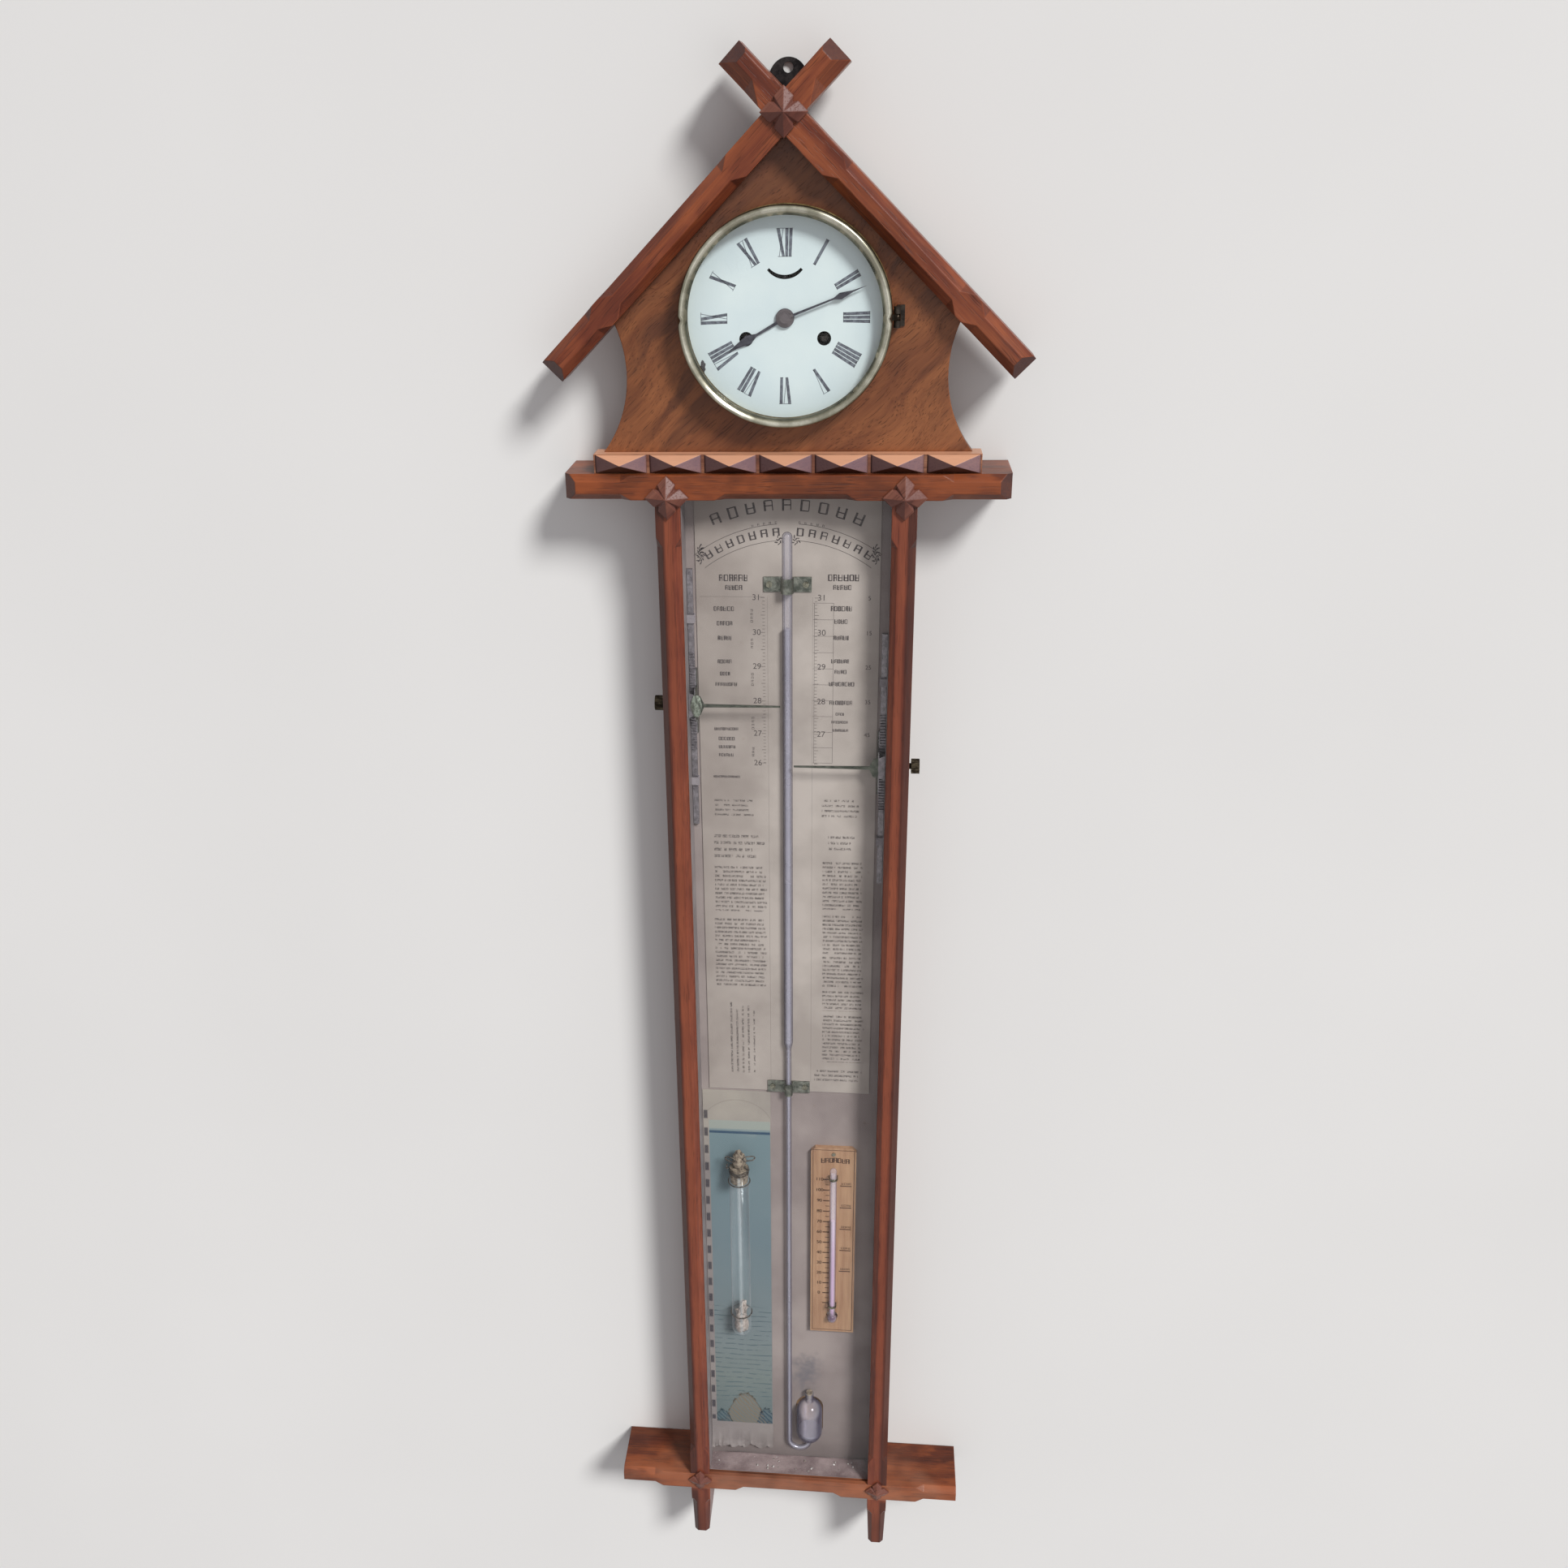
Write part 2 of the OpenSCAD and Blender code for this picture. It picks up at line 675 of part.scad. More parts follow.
// The left roof bar, lower on the left and with its finial on the right
module roof_bar(lap_back, lap_front)
    difference() {
        translate([0, 0, crossing_z]) rotate([0, 180 - roof_angle, 0]) difference() {
            slab(-finial_reach, roof_reach, roof_back, case_depth, -roof_w / 2, roof_w / 2);
            bevel_cut(roof_reach, 1, end_bevel, roof_w);
            bevel_cut(-finial_reach, -1, end_bevel, roof_w);
            for (side = [-1, 1]) {
                bar_chamfer(roof_w, side, roof_stop, roof_reach - end_stop - stop_gap, chamfer + 1);
                bar_chamfer(roof_w, side, roof_reach - end_stop, roof_reach, chamfer + 1, false, true);
            }
            bar_chamfer(roof_w, 1, -finial_reach, -13, chamfer + 4, true, false);
            bar_chamfer(roof_w, -1, -finial_reach, -16, 2, true, false);
        }
        mirror([1, 0, 0]) translate([0, 0, crossing_z]) rotate([0, 180 - roof_angle, 0])
            slab(-roof_w, roof_w, lap_back, lap_front, -roof_w / 2, roof_w / 2);
        pediment_housing();
    }

// The rebate in the roof bars that the pediment board sits in
module pediment_housing()
    difference() {
        sheet(roof_back - over, pediment_front) pediment_outline();
        roof_crossing_block();
    }

module roof_bar_left()
    color("#8e4727") roof_bar(roof_back - over, roof_back + roof_depth / 2);

module roof_bar_right()
    color("#9c5a2e") mirror([1, 0, 0]) roof_bar(roof_back + roof_depth / 2, case_depth + over);

module gable_block()
    color("#7a5236") difference() {
        slab(-block_x, block_x, hang_plate_t, pediment_back, box_top, block_top);
        screw_holes();
    }

module clock_box()
    color("#7a5236") difference() {
        sheet(box_back, pediment_back) difference() {
            polygon(box_outline(0));
            polygon(box_outline(box_wall));
        }
        screw_holes();
    }

module clock_back_board()
    color("#7a5236") difference() {
        sheet(0, box_back) polygon(box_outline(0));
        screw_holes();
    }

module apex_boss()
    color("#8a4a35") translate([0, -case_depth, crossing_z]) star_boss(boss_r, boss_rise);

module corner_bosses()
    color("#8a4a35") for (s = [-1, 1]) {
        translate([s * stile_x, -case_depth, crossbeam_top - boss_r]) star_boss(boss_r, boss_rise);
        translate([s * stile_x, -case_depth, bottom_top - boss_drop])
            star_boss(small_boss_r, boss_rise * small_boss_r / boss_r);
    }

module hanging_plate()
    color("#2b2a29") difference() {
        union() {
            peg(0, hang_round_z, hang_plate_r, 0, hang_plate_t);
            slab(-hang_plate_r, hang_plate_r, 0, hang_plate_t, -hang_plate_drop, hang_round_z);
        }
        peg(0, 0, hang_r, -over, hang_plate_t + over);
        screw_holes();
    }

// One countersunk wood screw with its head at the wall side
module wood_screw(x, z, head_out, tip_out)
    translate([x, -head_out, z]) rotate([90, 0, 0]) {
        cylinder(r1 = screw_head_r, r2 = screw_r, h = screw_head_l);
        cylinder(r = screw_r, h = tip_out - head_out);
    }

module wood_screws()
    color("#4a4642") {
        for (z = hang_screws)
            wood_screw(0, z, 0, hang_screw_l);
        for (s = [-1, 1], z = box_screw_zs)
            wood_screw(s * box_screw_x, z, 0, box_screw_out);
    }

module screw_holes() wood_screws();

module trunk_glass()
    color("#cfd8d8", 0.25)
        slab(-inner_x - groove + 0.3, inner_x + groove - 0.3, pane_back, pane_front, pane_bottom, pane_top);

module lining_paper()
    color("#8d8680") difference() {
        slab(-inner_x, inner_x, board_out, lining_out, bottom_top, crossbeam_under);
        bulb_pocket();
        pin_holes(board_out - over, lining_out + over);
    }

module chart()
    color("#a39b92") difference() {
        slab(-chart_x, chart_x, lining_out, card_out, -chart_end, chart_top);
        pin_holes(lining_out - over, card_out + over);
    }

// The tube's revolved outline, grown or shrunk from the glass by the given radii
module tube_form(wide, narrow, bulb, top) {
    translate([0, -tube_out, 0]) {
        translate([0, 0, -tube_neck]) cylinder(r = wide, h = tube_neck - tube_top - tube_r);
        translate([0, 0, -tube_top - tube_r]) sphere(r = wide);
        translate([0, 0, -tube_neck - 6]) cylinder(r1 = narrow, r2 = wide, h = 6);
        translate([0, 0, -bend_drop]) cylinder(r = narrow, h = bend_drop - tube_neck - 6 + 0.01);
    }
    translate([bend_r, -tube_out, -bend_drop]) rotate([90, 0, 0]) rotate([0, 0, 180])
        rotate_extrude(angle = 180) translate([bend_r, 0]) circle(r = narrow);
    translate([bulb_x, -tube_out, 0]) {
        translate([0, 0, -bend_drop]) cylinder(r = narrow, h = 6);
        translate([0, 0, bulb_bottom + bulb_r]) sphere(r = bulb);
        translate([0, 0, bulb_bottom + bulb_r]) cylinder(r = bulb, h = bulb_h - 2 * bulb_r);
        translate([0, 0, bulb_top - bulb_r]) sphere(r = bulb);
        translate([0, 0, bulb_top - 3]) cylinder(r = top, h = neck_h + 3 + (top < neck_r ? over : 0));
    }
}

module barometer_tube()
    color("#c9cdd2", 0.5) difference() {
        tube_form(tube_r, stem_r, bulb_r, neck_r);
        tube_form(bore_r, stem_bore_r, bulb_r - tube_wall, neck_r - 1);
    }

module mercury()
    color("#b9bcc4") intersection() {
        tube_form(bore_r - mercury_gap, stem_bore_r - mercury_gap, bulb_r - tube_wall - mercury_gap,
            neck_r - 1 - mercury_gap);
        union() {
            slab(-bend_r, bend_r, tube_out - bulb_r, tube_out + bulb_r, -bend_drop - 2 * bend_r, -mercury_top);
            slab(bend_r - over, 3 * bend_r + over, tube_out - bulb_r - over, tube_out + bulb_r + over,
                -bend_drop - 2 * bend_r, cistern_level);
        }
    }

// One brass strap over the tube of radius r
module tube_strap(z, r) {
    in_r = r + strap_gap;
    out_r = in_r + strap_t;
    z0 = z - strap_h / 2;
    z1 = z + strap_h / 2;
    for (s = [-1, 1]) {
        slab(s > 0 ? in_r : -strap_x, s > 0 ? strap_x : -in_r, card_out, card_out + strap_t, z0, z1);
        slab(s > 0 ? in_r : -out_r, s > 0 ? out_r : -in_r, card_out, tube_out, z0, z1);
    }
    translate([0, -tube_out, z0]) difference() {
        cylinder(r = out_r, h = strap_h);
        translate([0, 0, -over]) cylinder(r = in_r, h = strap_h + 2 * over);
        translate([-2 * out_r, 0, -over]) cube([4 * out_r, 2 * out_r, strap_h + 2 * over]);
    }
}

module tube_straps()
    color("#8f8f6e") difference() {
        union() {
            tube_strap(strap_zs[0], tube_r);
            tube_strap(strap_zs[1], stem_r);
        }
        pin_holes(card_out - over, card_out + strap_t + over);
    }

module cistern_plug()
    color("#6d655c") translate([bulb_x, -tube_out, bulb_top + neck_h - 5])
        cylinder(r = neck_r - 1 - mercury_gap, h = 7);

// The holes that the small brass pins go into
module pin_holes(back, front) {
    for (z = strap_zs, s = [-1, 1])
        peg(s * pin_x, z, pin_r, back, front);
    peg(thermo_x, -thermo_top - 6, pin_r, back, front);
}

module brass_pins()
    color("#b9a56a") {
        for (z = strap_zs, s = [-1, 1]) {
            peg(s * pin_x, z, pin_r, board_out - pin_l + 1, card_out + strap_t + 0.5);
            peg(s * pin_x, z, pin_head_r, card_out + strap_t, card_out + strap_t + 1);
        }
        peg(thermo_x, -thermo_top - 6, pin_r, board_out - pin_l + 1, thermo_face + 0.5);
        peg(thermo_x, -thermo_top - 6, 1.6, thermo_face, thermo_face + 0.8);
        for (z = staple_zs)
            thermo_staple(z);
    }

// A staple over the thermometer tube
module thermo_staple(z) {
    in_r = thermo_r + 0.1;
    out_r = in_r + staple_t;
    for (s = [-1, 1])
        slab(s > 0 ? thermo_x + in_r : thermo_x - out_r, s > 0 ? thermo_x + out_r : thermo_x - in_r,
            thermo_face, thermo_out, z - 1, z + 1);
    translate([thermo_x, -thermo_out, z - 1]) difference() {
        cylinder(r = out_r, h = 2);
        translate([0, 0, -over]) cylinder(r = in_r, h = 2 + 2 * over);
        translate([-2 * out_r, 0, -over]) cube([4 * out_r, 2 * out_r, 2 + 2 * over]);
    }
}

// Pointer, carriage and rack on the left, mirrored for the right
module pointer(drop)
    translate([0, 0, -drop]) {
        slab(-rack_outer_x, -rack_inner_x, rack_back, rack_root, -rack_half, rack_half);
        rack_teeth();
        slab(-rack_inner_x - 0.01, -rack_inner_x + slide_gap + cheek_t, rack_back, rack_root,
            -carriage_h, carriage_h);
        slab(-rack_inner_x + slide_gap, -rack_inner_x + slide_gap + cheek_t, rack_back,
            carriage_out + pointer_t, -carriage_h / 2, carriage_h / 2);
        sheet(carriage_out, carriage_out + pointer_t) difference() {
            polygon([[-rack_outer_x, carriage_h], [-rack_outer_x, -carriage_h],
                [-rack_inner_x + 7, -1.6], [-rack_inner_x + 7, 1.6]]);
            for (s = [-1, 1])
                translate([-rack_inner_x + 6, s * (carriage_h + 1)]) circle(r = carriage_h - 6);
        }
        sheet(carriage_out, carriage_out + pointer_t)
            polygon([[-rack_inner_x + 4, 1.3], [-pointer_tip_x, 0.6], [-pointer_tip_x, -0.6],
                [-rack_inner_x + 4, -1.3]]);
    }

// Rack teeth on the front of the rack bar, one centred on the pinion
module rack_teeth() {
    pitch = PI * rack_module;
    count = ceil((rack_travel + 2 * pitch) / pitch);
    for (i = [-count:count])
        translate([-rack_outer_x, 0, i * pitch]) rotate([90, 0, 90]) linear_extrude(height = rack_w)
            polygon([[-rack_root + 0.01, -0.27 * pitch], [-rack_tip, -0.11 * pitch],
                [-rack_tip, 0.11 * pitch], [-rack_root + 0.01, 0.27 * pitch]]);
}

module left_pointer()
    color("#55583f") pointer(left_pointer_drop);

module right_pointer()
    color("#55583f") mirror([1, 0, 0]) pointer(right_pointer_drop);

// Knob, shaft and pinion on the left, mirrored for the right
module knob(drop)
    translate([-trunk_w / 2, -knob_out, -drop]) rotate([0, 90, 0]) {
        translate([0, 0, -stem_l - slide_gap - knob_l]) knob_head();
        translate([0, 0, -stem_l - slide_gap]) cylinder(r = 2.2, h = stem_l);
        translate([0, 0, -stem_l - slide_gap - 1])
            cylinder(r = shaft_r, h = stem_l + slide_gap + 1 + bar_w + slide_gap + rack_w);
        translate([0, 0, bar_w + slide_gap])
            linear_extrude(height = rack_w)
                gear_outline(rack_pinion_teeth, rack_module, 90 + 180 / rack_pinion_teeth);
    }

module knob_head()
    difference() {
        cylinder(r = knob_r, h = knob_l);
        for (i = [0:11])
            rotate(30 * i) translate([knob_r + 0.5, 0, -over]) cylinder(r = 1, h = knob_l + 2 * over);
    }

module left_knob()
    color("#37322c") knob(left_pointer_drop);

module right_knob()
    color("#37322c") mirror([1, 0, 0]) knob(right_pointer_drop);

// Clips that keep the racks against the back board
module rack_guides()
    color("#8f8f6e")
        for (s = [-1, 1], up = [-1, 1])
            mirror([s > 0 ? 1 : 0, 0, 0])
                translate([0, 0, s < 0 ? -left_pointer_drop : -right_pointer_drop])
                    translate([0, 0, up > 0 ? guide_z : -guide_z - guide_h]) {
                        slab(-inner_x, -rack_inner_x + slide_gap + guide_t, rack_tip + slide_gap,
                            rack_tip + slide_gap + guide_t, 0, guide_h);
                        slab(-rack_inner_x + slide_gap, -rack_inner_x + slide_gap + guide_t, lining_out,
                            rack_tip + slide_gap + 0.01, 0, guide_h);
                    }

module storm_label()
    color("#73909a")
        slab(label_x, label_x + label_w, lining_out, card_out, label_bottom, label_top);

module storm_glass()
    color("#c3d3d6", 0.4) translate([storm_x, -storm_out, storm_bottom]) difference() {
        union() {
            translate([0, 0, storm_r]) cylinder(r = storm_r, h = storm_l - storm_r);
            translate([0, 0, storm_r]) sphere(r = storm_r);
        }
        translate([0, 0, storm_r]) cylinder(r = storm_r - storm_wall, h = storm_l);
        translate([0, 0, storm_r]) sphere(r = storm_r - storm_wall);
    }

module storm_liquid()
    color("#dfe5e2", 0.6) translate([storm_x, -storm_out, storm_bottom + storm_r]) {
        cylinder(r = storm_r - storm_wall - mercury_gap, h = storm_l - storm_r - cork_in - 6);
        sphere(r = storm_r - storm_wall - mercury_gap);
    }

module storm_cork()
    color("#a58f72") translate([storm_x, -storm_out, -storm_top - cork_in])
        cylinder(r = storm_r - storm_wall - mercury_gap, h = cork_l);

module storm_ties()
    color("#33312c") for (z = tie_zs) {
        translate([storm_x, -storm_out, z]) rotate_extrude()
            translate([storm_r + 0.1 + tie_wire_r, 0]) circle(r = tie_wire_r, $fn = 16);
    }

module thermometer_plate()
    color("#b98f5c") difference() {
        sheet(lining_out, thermo_face) difference() {
            translate([thermo_x - thermo_w / 2, -thermo_top - thermo_h]) square([thermo_w, thermo_h]);
            for (s = [-1, 1])
                translate([thermo_x + s * thermo_w / 2, -thermo_top]) rotate(45) square(5, center = true);
        }
        peg(thermo_x, thermo_bulb_z, thermo_bulb_r + 0.6, lining_out - over, thermo_face + over);
        peg(thermo_x, -thermo_top - 6, pin_r, lining_out - over, thermo_face + over);
    }

module thermometer_tube()
    color("#d8d8dc", 0.5) translate([thermo_x, -thermo_out, 0]) difference() {
        union() {
            translate([0, 0, thermo_bulb_z]) cylinder(r = thermo_r, h = thermo_tube_top - thermo_bulb_z - thermo_r);
            translate([0, 0, thermo_tube_top - thermo_r]) sphere(r = thermo_r);
            translate([0, 0, thermo_bulb_z]) sphere(r = thermo_bulb_r);
        }
        translate([0, 0, thermo_bulb_z]) cylinder(r = thermo_bore_r, h = thermo_tube_top - thermo_bulb_z - 6);
        translate([0, 0, thermo_bulb_z]) sphere(r = thermo_bulb_r - 0.8);
    }

module thermometer_spirit()
    color("#9c84b4") translate([thermo_x, -thermo_out, thermo_bulb_z]) {
        cylinder(r = thermo_bore_r - mercury_gap, h = thermo_level - thermo_bulb_z);
        sphere(r = thermo_bulb_r - 0.8 - mercury_gap);
    }

// A ring about the clock's axis from a list of [radius, distance from the wall]
module ring(profile)
    translate([0, 0, clock_z]) rotate([90, 0, 0]) rotate_extrude($fn = 96) polygon(profile);

module clock_drum()
    color("#8c845c") {
        ring([[drum_r - drum_wall, pediment_front], [bezel_r, pediment_front],
            [bezel_r, pediment_front + 1], [drum_r, pediment_front + 1], [drum_r, drum_front],
            [drum_r - drum_wall, drum_front], [drum_r - drum_wall, dial_back],
            [drum_r - drum_wall - 3, dial_back], [drum_r - drum_wall - 3, dial_back - 0.8],
            [drum_r - drum_wall, dial_back - 0.8]]);
    }

module bezel()
    color("#b8ad80") {
        ring([[bezel_inner_r, bezel_back + 2.6], [bezel_inner_r + 0.8, bezel_back],
            [bezel_r - 0.8, bezel_back], [bezel_r, bezel_back + 0.8], [bezel_r, bezel_front - 4],
            [bezel_r - 1.2, bezel_front - 1.2], [bezel_r - 3, bezel_front], [bezel_r - 4.2, bezel_front - 0.6],
            [bezel_inner_r, glass_out + bezel_glass_t + 0.6],
            [bezel_inner_r, glass_out + bezel_glass_t], [bezel_inner_r + 1.6, glass_out + bezel_glass_t],
            [bezel_inner_r + 1.6, glass_out], [bezel_inner_r, glass_out]]);
        translate([0, 0, clock_z]) difference() {
            union() {
                slab(bezel_r - 2, hinge_x, bezel_back, bezel_back + 1.2, -knuckle_h + slide_gap,
                    knuckle_h - slide_gap);
                translate([hinge_x, -hinge_out, -knuckle_h + slide_gap])
                    cylinder(r = knuckle_r, h = 2 * (knuckle_h - slide_gap));
            }
            translate([hinge_x, -hinge_out, 0])
                cylinder(r = hinge_pin_r + pivot_gap, h = 6 * knuckle_h, center = true);
        }
    }

module bezel_glass()
    color("#d5dede", 0.3)
        peg(0, clock_z, bezel_inner_r + 1.5, glass_out + 0.05, glass_out + bezel_glass_t - 0.05);

module bezel_hinge()
    color("#3a3830") translate([0, 0, clock_z]) {
        for (s = [-1, 1]) {
            z0 = s > 0 ? knuckle_h : -3 * knuckle_h;
            translate([hinge_x, -hinge_out, z0]) cylinder(r = knuckle_r, h = 2 * knuckle_h);
            slab(hinge_x, hinge_x + knuckle_r, pediment_front, hinge_out, z0, z0 + 2 * knuckle_h);
        }
        slab(hinge_x, hinge_x + 5, pediment_front, pediment_front + 1.2, -3 * knuckle_h, 3 * knuckle_h);
        translate([hinge_x, -hinge_out, -3 * knuckle_h]) cylinder(r = hinge_pin_r, h = 6 * knuckle_h);
    }

module dial()
    color("#e4e8e4") difference() {
        peg(0, clock_z, dial_r, dial_back, dial_front);
        peg(0, clock_z, pipe_r + 1, dial_back - over, dial_front + over);
        for (s = [-1, 1])
            arbor([s * winding_x, winding_z], winding_r + 2, dial_back - over, dial_front + over);
        regulator_slot();
    }

// The curved slot under the twelve that shows the regulator's tip, narrower towards its ends
module regulator_slot()
    translate([balance_p[0], 0, clock_z + balance_p[1]]) sheet(dial_back - over, dial_front + over)
        difference() {
            intersection() {
                translate([0, -slot_taper]) circle(r = regulator_l + slot_w / 2 - slot_taper);
                polygon([[0, 0], 40 * [-sin(slot_half_angle), -cos(slot_half_angle)],
                    [0, -60], 40 * [sin(slot_half_angle), -cos(slot_half_angle)]]);
            }
            translate([0, slot_taper]) circle(r = regulator_l - slot_w / 2 + slot_taper);
        }

// The hands' eyes fit the pipe and the arbor
module hour_hand()
    color("#1d1c1c") {
        translate([0, 0, clock_z]) rotate([0, hour_angle, 0])
            sheet(hour_hand_out, hour_hand_out + hand_t)
                polygon([[-1, hour_eye_r - 1], [-0.75, hour_l * 0.5], [-3, hour_l * 0.65],
                    [0, hour_l], [3, hour_l * 0.65], [0.75, hour_l * 0.5], [1, hour_eye_r - 1]]);
        difference() {
            peg(0, clock_z, hour_eye_r, hour_hand_out, hour_hand_out + hour_eye_t);
            peg(0, clock_z, pipe_r, hour_hand_out - over, hour_hand_out + hour_eye_t + over);
        }
    }

module minute_hand()
    color("#1d1c1c") {
        translate([0, 0, clock_z]) rotate([0, minute_angle, 0])
            sheet(minute_hand_out, minute_hand_out + hand_t) difference() {
                union() {
                    circle(r = 4);
                    polygon([[-0.8, 3.2], [-0.55, minute_l * 0.6], [-2.1, minute_l * 0.68],
                        [-0.6, minute_l * 0.82], [0, minute_l], [0.6, minute_l * 0.82],
                        [2.1, minute_l * 0.68], [0.55, minute_l * 0.6], [0.8, 3.2]]);
                }
                circle(r = centre_tip_r);
            }
        peg(0, clock_z, 3, minute_hand_out + hand_t, minute_hand_out + hand_t + 1);
    }
hour_angle = 240.7;
minute_angle = 69.4;

module hour_wheel()
    color("#b59a55") difference() {
        union() {
            wheel([0, 0], hour_teeth, hour_module, hour_out, 270, pipe_r);
            peg(0, clock_z, pipe_r, hour_out, hour_hand_out + hand_t);
        }
        peg(0, clock_z, centre_r + pivot_gap, hour_out - over, hour_hand_out + hand_t + over);
    }

module centre_wheel()
    color("#b59a55") {
        arbor([0, 0], centre_r, plate_back, minute_hand_out);
        arbor([0, 0], centre_tip_r, minute_hand_out - over, minute_hand_out + hand_t);
        pinion([0, 0], centre_leaves, great_module, great_out - 1, great_out + 3, -winding_angle);
        wheel([0, 0], centre_teeth, centre_module, centre_out, third_angle, centre_r);
        pinion([0, 0], cannon_leaves, motion_module, cannon_out, cannon_out + 1.6, 270);
    }

module minute_wheel()
    color("#b59a55") difference() {
        union() {
            wheel([0, -motion_d], minute_teeth, motion_module, cannon_out + 0.2, 90 + 180 / minute_teeth, 3);
            pinion([0, -motion_d], minute_leaves, hour_module, cannon_out + 0.2, hour_out + wheel_t,
                90 + 180 / minute_leaves);
        }
        arbor([0, -motion_d], arbor_r + pivot_gap, plate_front_face, dial_back);
    }

module front_plate()
    color("#c2a85e") {
        difference() {
            slab(-plate_x, plate_x, plate_front, plate_front_face, clock_z - plate_z, clock_z + plate_z);
            arbor_holes(plate_front, plate_front_face);
        }
        difference() {
            arbor(balance_p, regulator_hub, plate_front_face - 0.01, regulator_out + 1.4);
            arbor(balance_p, arbor_r + pivot_gap, plate_front_face - over, regulator_out + 2 * over);
        }
        arbor([0, -motion_d], arbor_r, plate_front_face - 0.01, dial_back - 0.6);
    }

module back_plate()
    color("#c2a85e") {
        difference() {
            slab(-plate_x, plate_x, plate_back, plate_back_face, clock_z - plate_z, clock_z + plate_z);
            arbor_holes(plate_back, plate_back_face);
        }
        for (p = pillar_ps) {
            arbor(p, pillar_r, plate_back_face - 0.01, plate_front);
            arbor(p, pillar_r + 1, box_back, plate_back + 0.01);
        }
    }

// Spring barrel with its great wheel at the given distance and its winding square
module barrel(p, wheel_out, phase) {
    arbor(p, winding_r, plate_back, plate_front_face + 1);
    translate([p[0], 0, clock_z + p[1]])
        slab(-key_square / 2, key_square / 2, plate_front_face, dial_front, -key_square / 2, key_square / 2);
    arbor(p, barrel_r, plate_back_face + 1.4, wheel_out);
    arbor(p, winding_r + 2.5, wheel_out, wheel_out + 4);
    translate([p[0], 0, clock_z + p[1]]) sheet(wheel_out, wheel_out + wheel_t + 0.4)
        gear_outline(great_teeth, great_module, phase);
}

module going_barrel()
    color("#b59a55") barrel([winding_x, winding_z], great_out, 180 - winding_angle + 180 / great_teeth);

module strike_barrel()
    color("#b59a55") barrel([-winding_x, winding_z], strike_out, 0);

module third_wheel()
    color("#b59a55") {
        arbor(third_p, arbor_r, plate_back, plate_front_face);
        pinion(third_p, third_leaves, centre_module, centre_out - 0.6, centre_out + wheel_t + 0.6,
            180 + third_angle + 180 / third_leaves);
        wheel(third_p, third_teeth, third_module, third_out, escape_angle, arbor_r);
    }

module escape_wheel()
    color("#b59a55") {
        arbor(escape_p, arbor_r, plate_back, plate_front_face);
        pinion(escape_p, escape_leaves, third_module, third_out - 0.6, third_out + wheel_t + 0.6,
            180 + escape_angle + 180 / escape_leaves);
        translate([escape_p[0], 0, clock_z + escape_p[1]]) sheet(escape_out, escape_out + 1)
            polygon([for (i = [0:escape_teeth - 1], k = [0:2])
                let (a = 360 / escape_teeth * (i + [0, 0.2, 0.55][k]), r = [escape_r, escape_r - 0.4, 4.6][k])
                r * [cos(a), sin(a)]]);
    }

// Lever with two pallet pins and a fork towards the balance
module pallet_lever()
    color("#8c8a84") {
        away = atan2(lever_p[1] - escape_p[1], lever_p[0] - escape_p[0]);
        fork = atan2(balance_p[1] - lever_p[1], balance_p[0] - lever_p[0]);
        arbor(lever_p, arbor_r, plate_back, plate_front_face);
        arbor(lever_p, 1.8, escape_out - 0.5, escape_out + 1.5);
        for (s = [-1, 1]) {
            pin = escape_p + (escape_r + 1.3) * [cos(away + 42 * s), sin(away + 42 * s)];
            lever_arm(lever_p, pin, 1.1);
            arbor(pin, 0.5, escape_out, escape_out + 2.6);
        }
        lever_arm(lever_p, lever_p + 9.6 * [cos(fork), sin(fork)], 1.1);
    }

// A straight flat arm from a to b
module lever_arm(a, b, w) {
    d = (b - a) / norm(b - a);
    n = w / 2 * [-d[1], d[0]];
    translate([0, 0, clock_z]) sheet(escape_out + 1.2, escape_out + 2.2)
        polygon([a + n, a - n, b - n, b + n]);
}

module balance_wheel()
    color("#c2a85e") {
        arbor(balance_p, arbor_r, plate_back, plate_front_face);
        arbor(balance_p, 2.2, escape_out + 1, escape_out + 2.4);
        translate([balance_p[0], 0, clock_z + balance_p[1]]) {
            sheet(balance_out, balance_out + 1.4) difference() {
                circle(r = balance_r);
                circle(r = balance_r - 1.6);
            }
            sheet(balance_out, balance_out + 1.4) square([2 * balance_r - 1, 1.6], center = true);
            sheet(balance_out + 2.2, balance_out + 2.8) hairspring();
        }
    }

// A flat spiral spring from the staff outwards
module hairspring() {
    turns = 3;
    steps = 14 * turns;
    inner = [for (i = [0:steps]) let (a = 360 * turns * i / steps, r = 0.7 + 4.4 * i / steps)
        r * [cos(a), sin(a)]];
    outer = [for (i = [steps:-1:0]) let (a = 360 * turns * i / steps, r = 1.1 + 4.4 * i / steps)
        r * [cos(a), sin(a)]];
    polygon(concat(inner, outer));
}

module regulator()
    color("#33332f") translate([balance_p[0], 0, clock_z + balance_p[1]]) {
        difference() {
            sheet(regulator_out, regulator_out + 0.8) union() {
                circle(r = regulator_hub + 2);
                translate([-0.8, -regulator_l - 0.8]) square([1.6, regulator_l]);
            }
            peg(0, 0, regulator_hub + pivot_gap, regulator_out - over, regulator_out + 2);
        }
        peg(0, -regulator_l, 0.7, regulator_out, dial_front + 0.6);
    }

